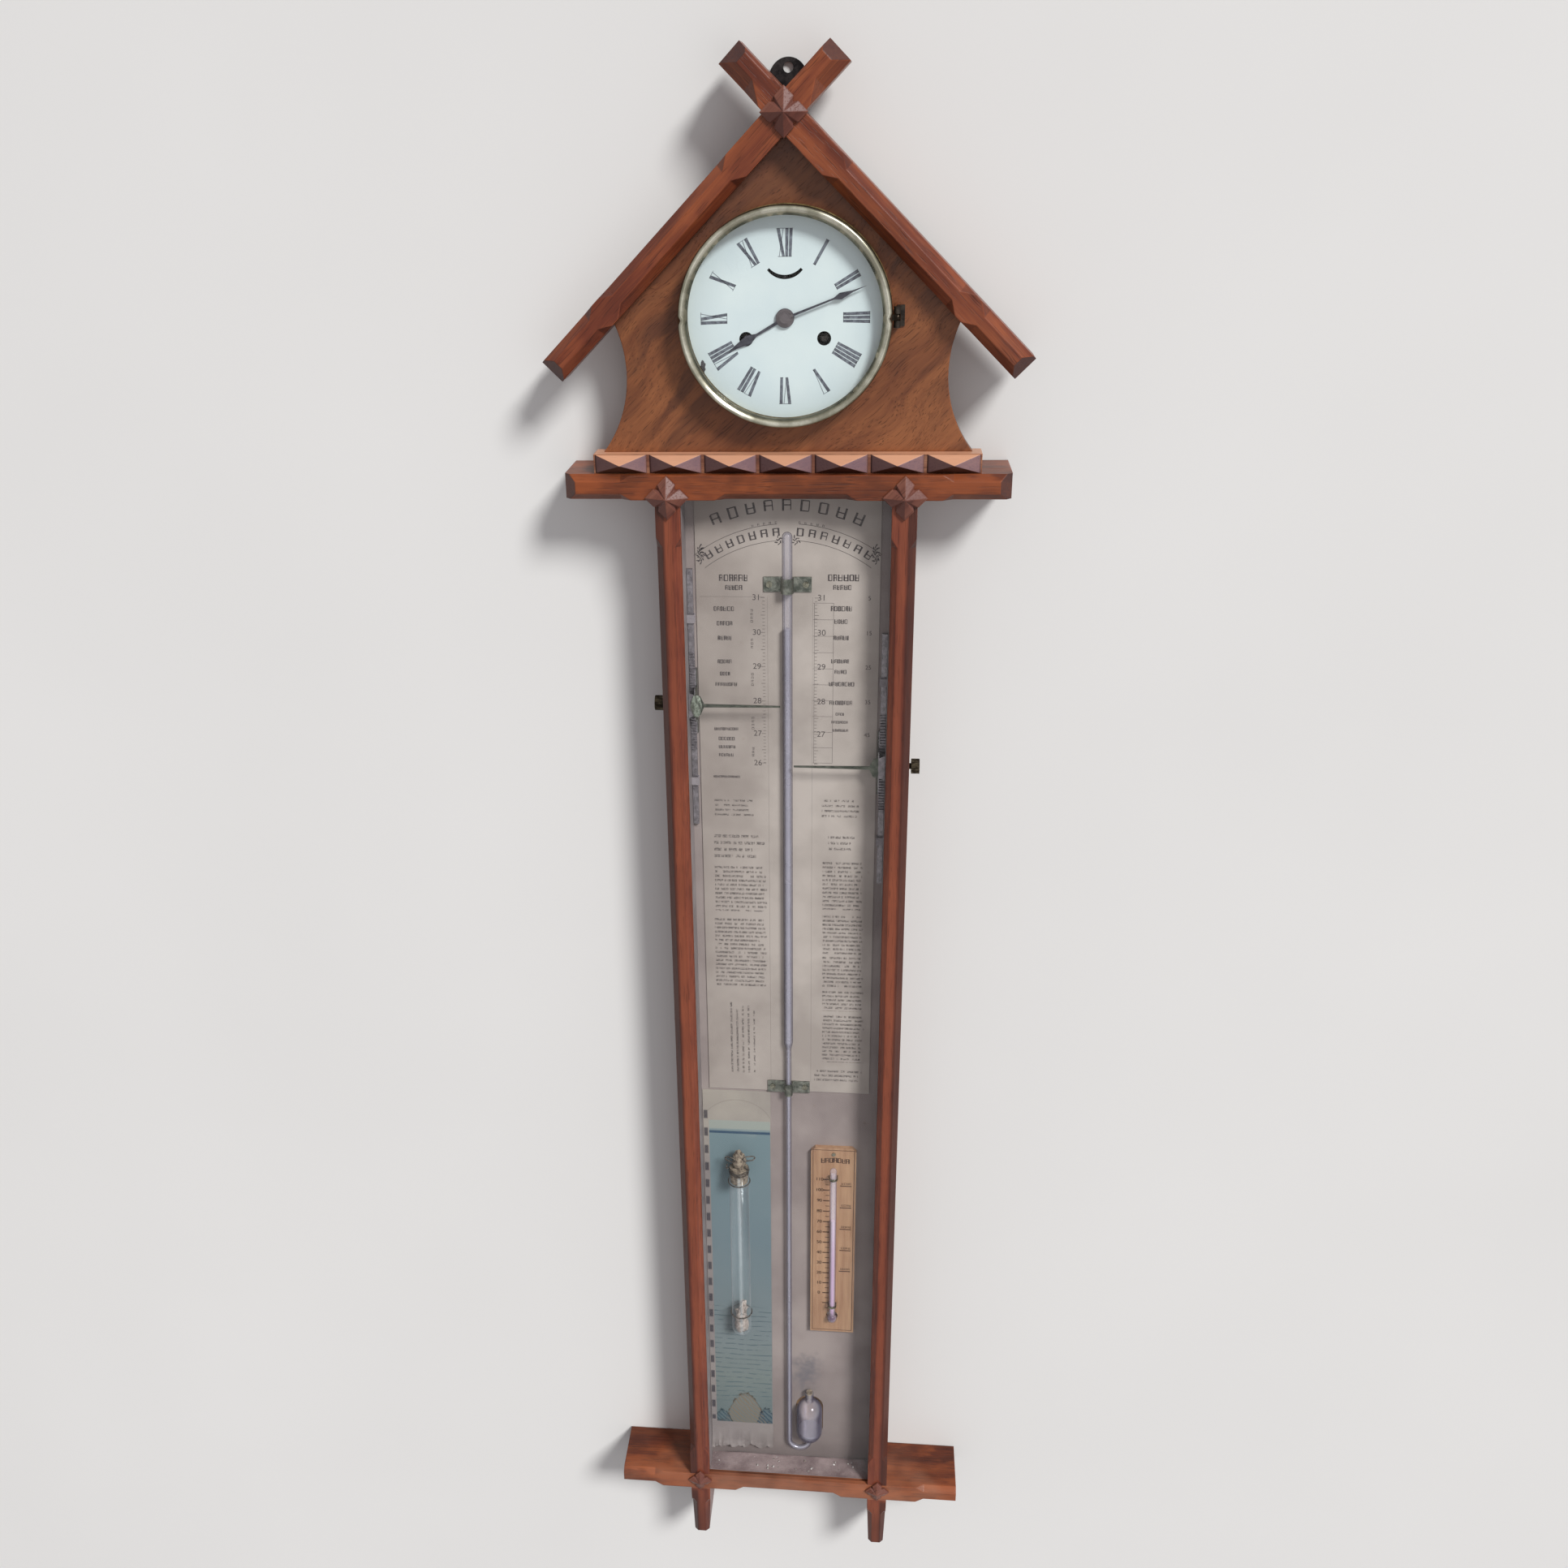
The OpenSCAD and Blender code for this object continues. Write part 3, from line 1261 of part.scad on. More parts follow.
module strike_hammer()
    color("#8c8a84") {
        arbor(hammer_p, arbor_r, plate_back, plate_front_face);
        d = (hammer_head - hammer_p) / norm(hammer_head - hammer_p);
        n = 0.8 * [-d[1], d[0]];
        translate([0, 0, clock_z]) sheet(hammer_out, hammer_out + 1.2)
            polygon([hammer_p + n, hammer_p - n, hammer_head - n, hammer_head + n]);
        arbor(hammer_head, 3.4, hammer_out - 2, hammer_out + 3);
    }

module bell()
    color("#c9b678") {
        arbor(bell_p, 2, box_back, bell_out + 10);
        translate([bell_p[0], 0, clock_z + bell_p[1]]) rotate([90, 0, 0]) rotate_extrude()
            polygon([[0, bell_out + 8.6], [6, bell_out + 8.2], [11.4, bell_out + 5.4], [bell_r, bell_out],
                [bell_r - 1.4, bell_out], [10.4, bell_out + 4.6], [5.6, bell_out + 7.1], [0, bell_out + 7.5]]);
    }

back_board();
stile_left();
stile_right();
crossbeam();
bottom_bar();
frieze_block();
frieze_pyramids();
pediment_board();
roof_bar_left();
roof_bar_right();
gable_block();
clock_box();
clock_back_board();
apex_boss();
corner_bosses();
hanging_plate();
wood_screws();
trunk_glass();
lining_paper();
chart();
barometer_tube();
mercury();
tube_straps();
cistern_plug();
left_pointer();
right_pointer();
left_knob();
right_knob();
rack_guides();
storm_label();
storm_glass();
storm_liquid();
storm_cork();
storm_ties();
thermometer_plate();
thermometer_tube();
thermometer_spirit();
brass_pins();
clock_drum();
bezel();
bezel_glass();
bezel_hinge();
dial();
hour_hand();
minute_hand();
hour_wheel();
centre_wheel();
minute_wheel();
front_plate();
back_plate();
going_barrel();
strike_barrel();
third_wheel();
escape_wheel();
pallet_lever();
balance_wheel();
regulator();
strike_hammer();
bell();
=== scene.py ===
import contextlib
import math
import random

import bmesh
import bpy
from mathutils import Matrix, Vector, noise


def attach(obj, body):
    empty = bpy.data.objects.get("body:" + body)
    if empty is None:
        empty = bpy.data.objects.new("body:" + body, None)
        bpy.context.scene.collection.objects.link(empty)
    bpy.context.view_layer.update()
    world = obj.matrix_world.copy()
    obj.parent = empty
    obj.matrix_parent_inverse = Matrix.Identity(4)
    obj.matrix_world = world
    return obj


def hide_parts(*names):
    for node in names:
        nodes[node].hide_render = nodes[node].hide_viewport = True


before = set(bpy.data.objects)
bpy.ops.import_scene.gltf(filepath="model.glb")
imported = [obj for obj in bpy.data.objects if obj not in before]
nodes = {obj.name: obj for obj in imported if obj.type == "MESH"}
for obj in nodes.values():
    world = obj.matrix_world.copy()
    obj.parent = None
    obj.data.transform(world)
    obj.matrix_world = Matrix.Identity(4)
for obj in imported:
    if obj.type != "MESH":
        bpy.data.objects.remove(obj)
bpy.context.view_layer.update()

mm = 0.001
dialCentre = (0, 0, -0.1475)
scene = bpy.context.scene
dice = random.Random(7)


# sRGB 0-255 as it is seen in the picture, to the linear colour that a socket takes. A wire or a
# colour of four numbers is passed on as it is
def tone(colour):
    if isinstance(colour, Wire) or len(colour) == 4:
        return colour
    shares = [v / 255 for v in colour]
    return [v / 12.92 if v <= 0.04045 else ((v + 0.055) / 1.055) ** 2.4 for v in shares] + [1.0]


# One output of a node. Sums of wires add Math nodes, every other node comes from node()
class Wire:
    def __init__(self, tree, socket):
        self.tree = tree
        self.socket = socket

    def node(self, kind, settings=None, inputs=None, out=0):
        made = self.tree.nodes.new("ShaderNode" + kind)
        for name, value in (settings or {}).items():
            if name == "stops":
                stops = made.color_ramp.elements
                stops.remove(stops[1])
                stops[0].position, stops[0].color = value[0]
                for place, colour in value[1:]:
                    stops.new(place).color = colour
            else:
                setattr(made, name, value)
        for name, value in (inputs or {}).items():
            if isinstance(value, Wire):
                self.tree.links.new(value.socket, made.inputs[name])
            else:
                made.inputs[name].default_value = value
        return Wire(self.tree, made.outputs[out])

    def math(self, operation, *others):
        return self.node("Math", {"operation": operation}, dict(enumerate((self,) + others)))

    def __add__(self, other):
        return self.math("ADD", other)

    def __sub__(self, other):
        return self.math("SUBTRACT", other)

    def __rsub__(self, other):
        return self.node("Math", {"operation": "SUBTRACT"}, {0: other, 1: self})

    def __mul__(self, other):
        return self.math("MULTIPLY", other)

    __radd__, __rmul__ = __add__, __mul__

    def __truediv__(self, other):
        return self.math("DIVIDE", other)

    # 0 below low, 1 above high, soft in between
    def fade(self, low, high):
        return self.node("MapRange", {"interpolation_type": "SMOOTHSTEP"},
                         {0: self, 1: low, 2: high, 3: 0.0, 4: 1.0})

    # 1 between low and high
    def between(self, low, high, soft=0.00005):
        return self.fade(low - soft, low + soft) * (1 - self.fade(high - soft, high + soft))

    # this wire as the share of the second colour
    def blend(self, first, second):
        return self.node("Mix", {"data_type": "RGBA"}, {0: self, 6: tone(first), 7: tone(second)},
                         out=2)

    # this colour under coats, each of them a share and a colour
    def under(self, *coats):
        colour = self
        for share, shade in coats:
            colour = share.blend(colour, shade)
        return colour

    def ramp(self, *stops):
        return self.node("ValToRGB", {"stops": [(place, tone(colour)) for place, colour in stops]},
                         {0: self})

    def axes(self):
        parts = self.tree.nodes.new("ShaderNodeSeparateXYZ")
        self.tree.links.new(self.socket, parts.inputs[0])
        return [Wire(self.tree, parts.outputs[i]) for i in range(3)]

    def noise(self, scale, detail=2.0, roughness=0.5):
        return self.node("TexNoise", None, {"Vector": self, "Scale": scale, "Detail": detail,
                                            "Roughness": roughness})

    def placed(self, turn=(0, 0, 0), scale=(1, 1, 1), shift=(0, 0, 0)):
        return self.node("Mapping", None, {"Vector": self, "Rotation": turn, "Scale": scale,
                                           "Location": shift})

    def bump(self, distance, strength=1.0, base=None):
        values = {"Height": self, "Distance": distance, "Strength": strength}
        if base is not None:
            values["Normal"] = base
        return self.node("Bump", None, values)

    # how far this point lies from a spot, with the axes in keep counted
    def reach(self, spot, keep=(1, 1, 1)):
        moved = self.placed(scale=keep, shift=[-a * b for a, b in zip(spot, keep)])
        return moved.node("VectorMath", {"operation": "LENGTH"}, {0: moved}, out=1)


def newFinish(name, constants):
    finish = bpy.data.materials.new(name)
    finish.use_nodes = True
    tree = finish.node_tree
    shader = tree.nodes["Principled BSDF"]
    for socket, value in constants.items():
        shader.inputs[socket].default_value = value
    place = Wire(tree, tree.nodes.new("ShaderNodeTexCoord").outputs["Object"])
    return finish, shader, place


def feed(shader, colour, rough=None, normal=None):
    for socket, wire in (("Base Color", colour), ("Roughness", rough), ("Normal", normal)):
        if wire:
            wire.tree.links.new(wire.socket, shader.inputs[socket])


# one noise through a ramp of colours. relief is the noise scale, depth and strength of a bump
def mottled(name, constants, specks, *stops, relief=None):
    finish, shader, point = newFinish(name, constants)
    feed(shader, point.noise(*specks).ramp(*stops),
         normal=relief and point.noise(relief[0], 4).bump(*relief[1:]))
    return finish


# only this share of a finish is kept, and what lies behind shows through the rest
def thinned(finish, share, tint=(1, 1, 1, 1)):
    tree = finish.node_tree
    clear = share.node("BsdfTransparent", None, {"Color": tint})
    solid = Wire(tree, tree.nodes["Principled BSDF"].outputs[0])
    both = share.node("MixShader", None, {0: share, 1: clear, 2: solid})
    tree.links.new(both.socket, tree.nodes["Material Output"].inputs["Surface"])


# ---- camera
camera = {"spot": (58.7, -1063.3, -31.3), "yaw": -6.208, "down": 23.455, "roll": -1.329,
          "focalPixels": 1877.0, "axisPixel": 881.4, "picture": 1932}
cameraData = bpy.data.cameras.new("camera")
cameraObject = bpy.data.objects.new("camera", cameraData)
scene.collection.objects.link(cameraObject)
yaw, down, roll = [math.radians(camera[k]) for k in ("yaw", "down", "roll")]
ahead = Vector((math.sin(yaw) * math.cos(down), math.cos(yaw) * math.cos(down), -math.sin(down)))
level = Vector((math.cos(yaw), -math.sin(yaw), 0))
above = level.cross(ahead)
side = math.cos(roll) * level + math.sin(roll) * above
top = math.cos(roll) * above - math.sin(roll) * level
cameraObject.matrix_world = Matrix(
    [(side[i], top[i], -ahead[i], camera["spot"][i] * mm) for i in range(3)] + [(0, 0, 0, 1)])
cameraData.sensor_width = 36
cameraData.lens = 36 * camera["focalPixels"] / camera["picture"]
cameraData.shift_x = (camera["picture"] / 2 - camera["axisPixel"]) / camera["picture"]
cameraData.clip_start, cameraData.clip_end = 0.05, 60
scene.camera = cameraObject
scene.view_settings.view_transform = "Standard"
print("camera set")


# ---- wall, floor and light
stageSet = {"wall": (224, 223, 220), "floor": (220, 219, 216), "skyCamera": (0.86, 0.86, 0.855, 1),
            "skyLight": (0.365, 0.355, 0.372, 1)}


def stagePlane(name, size, place, turn, colour):
    bpy.ops.mesh.primitive_plane_add(size=size, location=place, rotation=turn)
    plane = bpy.context.object
    plane.name = name
    bpy.ops.object.transform_apply(location=True, rotation=True, scale=True)
    paint = mottled(name + "Paint", {"Roughness": 0.9}, (3, 3), (0.3, colour),
                    (0.7, [c + 3 for c in colour]))
    # nothing of it is seen from behind
    tree = paint.node_tree
    thinned(paint, 1 - Wire(tree, tree.nodes.new("ShaderNodeNewGeometry").outputs["Backfacing"]))
    plane.data.materials.append(paint)
    plane.visible_shadow = False
    plane.visible_diffuse = False


stagePlane("wall", 9, (0, 0.0008, -0.6), (math.pi / 2, 0, 0), stageSet["wall"])
stagePlane("floor", 9, (0, 0, -1.42), (0, 0, 0), stageSet["floor"])

world = bpy.data.worlds.new("room")
scene.world = world
world.use_nodes = True
sky = world.node_tree
sky.nodes.clear()
rays = sky.nodes.new("ShaderNodeLightPath")
seen = Wire(sky, rays.outputs["Is Camera Ray"]) + Wire(sky, rays.outputs["Is Glossy Ray"])
seen = (seen + Wire(sky, rays.outputs["Is Transmission Ray"])).math("MINIMUM", 1.0)
skyShade = seen.node("Background", None, {"Color": seen.blend(stageSet["skyLight"],
                                                              stageSet["skyCamera"])})
skyOut = sky.nodes.new("ShaderNodeOutputWorld")
sky.links.new(skyShade.socket, skyOut.inputs[0])

lampSet = {
    "window": {"kind": "SUN", "place": (2.1, -2.5, 2.1), "soft": 0.26, "strength": 3.0},
    "fill": {"kind": "AREA", "place": (0.9, -2.2, -0.4), "soft": 1.6, "strength": 4.4}}
for name, lamp in lampSet.items():
    lampData = bpy.data.lights.new(name, lamp["kind"])
    lampData.energy = lamp["strength"]
    if lamp["kind"] == "SUN":
        lampData.angle = lamp["soft"]
    else:
        lampData.size = lamp["soft"]
    lampObject = bpy.data.objects.new(name, lampData)
    lampObject.location = lamp["place"]
    lampObject.rotation_mode = "QUATERNION"
    toward = Vector((0, 0, -0.6)) - Vector(lamp["place"])
    lampObject.rotation_quaternion = toward.to_track_quat("-Z", "Y")
    scene.collection.objects.link(lampObject)
print("wall, floor and lamps set")


# ---- finishes
# where painted shade and painted highlight, dust and paper lie on the case, in metres across,
# out or up from the hanging hole
caseSet = {"arris": (0.0826, 0.0890), "paintedHighlightBand": (0.0772, 0.0812), "legTop": (-1.182, -1.176),
           "trunk": (-1.1585, -0.266), "footBar": (-1.1770, -1.1585), "feet": (-1.215, -1.178),
           "innerWall": (0.0716, 0.0718), "behindGlass": (-0.0436, -0.0434),
           "paper": (-1.1594, -0.2646)}


# Polished timber. The grain runs up the bar, turned by lean degrees towards +X. swirl bends it,
# figure is its broad pattern, wear the share of rubbed arrises, lined marks the bars of the trunk
def timber(name, lean, tones, swirl=0.006, figure=0.25, gloss=0.36, endTone=(58, 40, 40),
           wear=0.6, paintedFacetLight=0.0, flames=0.0, lined=False, blotched=0.0):
    finish, shader, point = newFinish(name, {"Coat Weight": 0.06, "Coat Roughness": 0.20,
                                             "Specular IOR Level": 0.24})
    bend = point.noise(9, 2).math("SUBTRACT", 0.5)
    x, y, z = point.placed(turn=(0, -math.radians(lean), 0)).axes()
    bent = point.node("CombineXYZ", None, {0: x + bend * swirl, 1: y + bend * swirl, 2: z})
    bands = bent.placed(scale=(1, 1, 0.07)).noise(85, 4, 0.6)
    streaks = bent.placed(scale=(1, 1, 0.02)).noise(560, 3, 0.6)
    pores = bent.placed(scale=(1, 1, 0.035)).noise(1500, 1).fade(0.60, 0.70)
    patches = point.noise(11, 3, 0.55)
    heart = bent.placed(scale=(1, 1, 0.14)).noise(26, 3, 0.5)
    grain = bands * (0.62 - figure * 0.6) + heart * figure + streaks * 0.2 + patches * 0.2
    grain = grain + figure * 0.1
    # arrises are rounded and rubbed paler
    soft = point.node("Bevel", {"samples": 6}, {"Radius": 0.0012})
    facing = Wire(point.tree, point.tree.nodes.new("ShaderNodeNewGeometry").outputs["Normal"])
    rubbed = 1 - soft.node("VectorMath", {"operation": "DOT_PRODUCT"}, {0: soft, 1: facing}, out=1)
    rubbed = rubbed.fade(0.004, 0.09) * point.noise(70, 3, 0.6).fade(0.36, 0.60)
    colour = grain.ramp((0.36, tones[0]), (0.53, tones[1]), (0.70, tones[2])).under(
        (pores * 0.5, [c * 0.5 for c in tones[0]]),
        (rubbed * wear, [c * k for c, k in zip(tones[2], (1.16, 1.08, 0.98))]))
    if flames:
        # soft dark flames that wander across a wide board, and a few fine drying cracks
        drawn = bent.placed(scale=(1, 1, 0.34))
        across = drawn.node("TexWave", {"bands_direction": "X"},
                            {"Vector": drawn, "Scale": 12, "Distortion": 10, "Detail": 4,
                             "Detail Scale": 1.6, "Detail Roughness": 0.65}, out=1)
        cloud = point.noise(9, 3, 0.6).fade(0.36, 0.60)
        # the board is also painted darker towards its top
        darkerTop = point.axes()[2].fade(-0.135, -0.055) + (cloud * 0.4 - 0.2)
        crack = bent.placed(turn=(0, math.radians(lean), 0), scale=(1, 1, 0.03)).noise(210, 1)
        crack = crack.between(0.498, 0.502, 0.0015) * point.noise(24, 2).fade(0.56, 0.62)
        colour = colour.under((across.fade(0.35, 0.95) * cloud * flames, tones[0]),
                              ((1 - across.fade(0.0, 0.35)) * flames * 0.45, tones[2]),
                              (darkerTop.math("MAXIMUM", 0.0) * 0.42, (66, 46, 42)),
                              (crack * 0.7, [c * 0.45 for c in tones[0]]))
    if blotched:
        blotch = bent.placed(scale=(1, 1, 0.45)).noise(48, 3, 0.6)
        colour = colour.under(
            (blotch.fade(0.50, 0.64) * blotched, [c * 1.1 for c in tones[2]]),
            ((1 - blotch.fade(0.36, 0.50)) * blotched * 0.8, [c * 0.9 for c in tones[0]]))
    if paintedFacetLight:
        # painted light: the tops are painted pale as if lit from above, the side towards the window
        # gets a painted lilac reflection, and the far side a painted shade
        window, upward = facing.axes()[::2]
        paintedShadeSide = ((window * -1).fade(0.08, 0.3) + (upward * -1).fade(0.08, 0.3)).math("MINIMUM", 1.0)
        colour = colour.under((upward.fade(0.3, 0.7) * paintedFacetLight, (212, 158, 126)),
                              (window.fade(0.2, 0.5) * paintedFacetLight * 0.8, (134, 114, 126)),
                              (paintedShadeSide * paintedFacetLight, (50, 23, 19)))
    # sawn ends stay dark
    lean = math.radians(lean)
    ends = facing.node("VectorMath", {"operation": "DOT_PRODUCT"},
                       {0: facing, 1: (math.sin(lean), 0.0, math.cos(lean))}, out=1)
    colour = (ends.math("ABSOLUTE").fade(0.30, 0.55) * 0.72).blend(colour, endTone)
    if lined:
        # the outer arris is painted dark, a painted shade, and the band beside it is painted pale,
        # a painted highlight; the foot bar is dusty and the feet are kicked dark
        px, py, pz = point.axes()
        wide = px.math("ABSOLUTE")
        upright = (1 - pz.fade(*caseSet["legTop"])) + pz.between(*caseSet["trunk"], 0.0003)
        arris, paintedHighlightBand = [wide.between(*caseSet[band], 0.0012) * upright
                             for band in ("arris", "paintedHighlightBand")]
        dust = pz.between(*caseSet["footBar"], 0.0004) * patches.fade(0.35, 0.65)
        # the walls inside the case are papered
        papered = (1 - wide.fade(*caseSet["innerWall"])) * py.fade(*caseSet["behindGlass"])
        papered = papered * pz.between(*caseSet["paper"], 0.0001)
        paper = point.noise(16, 4, 0.6).ramp((0.35, (112, 103, 103)), (0.65, (148, 140, 140)))
        colour = colour.under((arris * 0.7, (46, 24, 20)), (paintedHighlightBand * 0.45, tones[2]),
                              (dust * 0.36, (190, 136, 108)),
                              ((1 - pz.fade(*caseSet["feet"])) * 0.5, (66, 32, 26)),
                              (papered, paper))
    feed(shader, colour, streaks * 0.12 + patches * 0.16 + pores * 0.15 + (gloss - 0.14),
         (streaks * 0.5 - pores + patches * 0.6).bump(0.00012, 0.7, soft))
    return finish


barTones = ((62, 26, 18), (104, 48, 30), (144, 78, 46))
timberUp = timber("stileTimber", 0, ((62, 26, 20), (104, 50, 36), (138, 74, 50)), lined=True,
                  blotched=0.2)
timberCross = timber("crossbarTimber", 90, ((52, 23, 15), (92, 43, 26), (138, 72, 38)), lined=True,
                     blotched=0.5)
timberLeftRoof = timber("leftRoofTimber", 45, barTones, blotched=0.25)
timberRightRoof = timber("rightRoofTimber", -45, barTones, blotched=0.25)
timberBoard = timber("pedimentTimber", 48, ((62, 36, 27), (106, 60, 37), (142, 88, 54)),
                     swirl=0.045, figure=0.34, endTone=(72, 44, 32), flames=0.5)
# the frieze's facets carry painted light: paler on top, lilac towards the window, dark on the far
# side
timberFrieze = timber("friezeTimber", 90, ((72, 38, 30), (112, 68, 50), (166, 118, 90)),
                      endTone=(116, 88, 92), paintedFacetLight=0.85)
timberBoss = timber("bossTimber", 45, ((60, 28, 23), (96, 52, 42), (132, 84, 68)),
                    endTone=(102, 62, 54))
timberDeal, timberDealCross = [
    timber(name, lean, ((112, 84, 58), (146, 114, 80), (172, 142, 104)), gloss=0.62,
           endTone=(96, 74, 52), wear=0.1)
    for name, lean in (("dealBackTimber", 0), ("dealCrossTimber", 90))]


# Metal with dull patches. stain is the share of tarnish
def metal(name, bright, dull, rough=0.3, stain=0.5, scale=160, metallic=1.0, relief=0.6):
    finish, shader, point = newFinish(name, {"Metallic": metallic})
    patch = point.noise(scale, 4, 0.65)
    fine = point.noise(scale * 9, 2)
    spots = (patch + fine * 0.25).fade(0.72 - stain * 0.5, 0.95 - stain * 0.25)
    feed(shader, spots.blend(bright, dull), spots * 0.3 + fine * 0.1 + (rough - 0.05),
         (patch * 0.7 + fine * 0.3).bump(0.00006, relief))
    return finish


bezelBrass, shader, point = newFinish("bezelBrass", {"Metallic": 1.0})
patch = point.noise(60, 4, 0.6)
turned = point.reach(dialCentre, (1, 0, 1))
# painted highlight: a bright ring along the crown of the rim; painted shade: the outer edge of the
# rim is dark
crownHighlight = turned.between(0.0650, 0.0674, 0.0008)
colour = patch.ramp((0.36, (104, 101, 86)), (0.66, (148, 144, 126))).under(
    (crownHighlight * 0.85, patch.ramp((0.40, (150, 147, 132)), (0.62, (196, 193, 180)))),
    (turned.fade(0.0688, 0.0693), (46, 40, 34)))
feed(shader, colour, patch * 0.16 - crownHighlight * 0.06 + 0.22, patch.bump(0.00004, 0.2))

hingeBronze = metal("hingeBronze", (58, 50, 42), (32, 27, 24), 0.5, 0.6, metallic=0.6)
strapBrass = metal("strapBrass", (146, 147, 138), (84, 87, 80), 0.36, 0.6)
wheelBrass = metal("wheelBrass", (214, 184, 112), (170, 140, 80), 0.25, 0.35)
# painted shade: the front plate is painted near black, so the slot and holes of the dial read as
# shaded
plateShadeDark = metal("plateShadeDark", (52, 46, 40), (30, 27, 26), 0.6, 0.7)
drumBrass = metal("drumBrass", (168, 150, 104), (104, 88, 60), 0.4, 0.7)
ironPlate = metal("ironPlate", (64, 60, 60), (34, 32, 33), 0.42, 0.6)
screwSteel = metal("screwSteel", (150, 148, 145), (92, 84, 76), 0.36, 0.5, scale=400)
rackZinc = metal("rackZinc", (156, 149, 152), (138, 131, 134), 0.65, 0.4, scale=60, metallic=0.15)
knobBrass = metal("knobBrass", (82, 74, 60), (42, 36, 30), 0.4, 0.6, scale=300)
pinBrass = metal("pinBrass", (150, 147, 132), (86, 83, 70), 0.34, 0.5, scale=500)
bellMetal = metal("bellMetal", (186, 186, 182), (140, 138, 132), 0.22, 0.3)
mercuryMetal = metal("mercuryMetal", (184, 181, 193), (170, 167, 180), 0.26, 0.2, 8, 0.7, 0.0)
wireDark = metal("wireDark", (112, 104, 96), (58, 52, 48), 0.5, 0.6, scale=500, metallic=0.5)

# the barrels are brass; the squares on their arbors are steel, painted darker as the shade in the
# winding holes
barrelBrass, shader, point = newFinish("barrelBrass", {"Metallic": 1.0})
brass = point.noise(160, 4, 0.65).fade(0.45, 0.75)
arbor = 1 - point.axes()[1].fade(-0.0362, -0.0358)
feed(shader, arbor.blend(brass.blend((208, 178, 108), (160, 132, 76)), (58, 54, 52)),
     brass * 0.2 + 0.28)

# brass pointers, dull green-grey, on racks of pale zinc at the sides
pointerBrass, shader, point = newFinish("pointerBrass", {"Metallic": 0.7})
stain = point.noise(300, 4, 0.65)
racks = point.axes()[0].math("ABSOLUTE").fade(0.0662, 0.0666)
colour = racks.blend(stain.ramp((0.35, (60, 64, 56)), (0.7, (104, 106, 96))),
                     stain.ramp((0.35, (112, 106, 110)), (0.7, (160, 154, 158))))
feed(shader, colour, stain * 0.2 + 0.38, stain.bump(0.00006, 0.5))

# blued hands, dull and greyer at the hub
handSteel, shader, point = newFinish("handSteel", {"Metallic": 0.6})
dust = point.noise(300, 4, 0.65)
hub = 1 - point.reach(dialCentre, (1, 0, 1)).fade(0.0052, 0.0062)
steel = dust.ramp((0.35, (50, 50, 58)), (0.7, (84, 84, 92)))
feed(shader, (hub * 0.85).blend(steel, (108, 101, 102)), dust * 0.3 + 0.3,
     dust.bump(0.00005, 0.5))


# Paper or card. foxing is the share of brown spots
def paperFinish(name, pale, shade, foxing=0.3):
    finish, shader, point = newFinish(name, {"Roughness": 0.86, "Specular IOR Level": 0.2})
    cloud = point.noise(14, 4, 0.6)
    fibre = point.noise(1400, 2)
    spots = point.noise(170, 3, 0.7).fade(0.66, 0.76)
    colour = cloud.ramp((0.35, shade), (0.62, pale)).under(
        (spots * foxing, [c * k for c, k in zip(shade, (0.8, 0.7, 0.56))]),
        (fibre * 0.10, [c * 0.86 for c in pale]))
    return finish, shader, point, colour, (fibre + cloud).bump(0.00005, 0.5)


liningPaper, shader, point, colour, relief = paperFinish("liningPaper", (164, 152, 147),
                                                         (142, 130, 127), 0.35)
# painted shadow of the cistern bulb, whose glass casts none; the paper is also darker towards the
# bottom and in a band along the floor
bulbShadow = point.reach((0.016, 0, -1.058), (0.9, 0, 0.6)) + point.noise(110, 4, 0.75) * 0.03
streak = point.reach((0.0, 0, -1.160), (0.12, 0, 1)) + point.noise(70, 4) * 0.012
colour = colour.under(((1 - point.axes()[2].fade(-1.15, -1.02)) * 0.5, (96, 86, 85)),
                      ((1 - bulbShadow.fade(0.014, 0.032)) * 0.7, (98, 98, 106)),
                      ((1 - streak.fade(0.008, 0.030)) * 0.55, (104, 94, 92)))
feed(shader, colour, normal=relief)


# Greeked lines of small print: words made of broken marks, in a block x0..x1, z0..z1 (mm)
def printedLines(point, x, z, block, seed):
    x0, x1, z0, z1, pitch, fill, ragged = block
    row = ((z1 * mm - z) / (pitch * mm))
    line = row.math("FLOOR")
    inLine = row.math("FRACT").between(0.18, 0.18 + fill, 0.06)
    flat = point.node("CombineXYZ", None, {0: x, 1: line * 0.37 + seed, 2: 0.0})
    words = flat.noise(430, 1, 0.4).fade(0.40, 0.44)
    letters = point.placed(shift=(seed, 0, 0)).noise(1500, 1).fade(0.36, 0.56)
    length = flat.node("TexWhiteNoise", {"noise_dimensions": "1D"}, {"W": line + seed})
    right = x1 * mm - length * (ragged * mm)
    along = (x - x0 * mm).fade(0.0, 0.0002) * (1 - (x - right).fade(0.0, 0.0002))
    return inLine * words * letters * along * z.between(z0 * mm, z1 * mm)


chartPaper, shader, point, colour, relief = paperFinish("chartPaper", (194, 184, 175),
                                                        (166, 156, 148), 0.22)
x, y, z = point.axes()
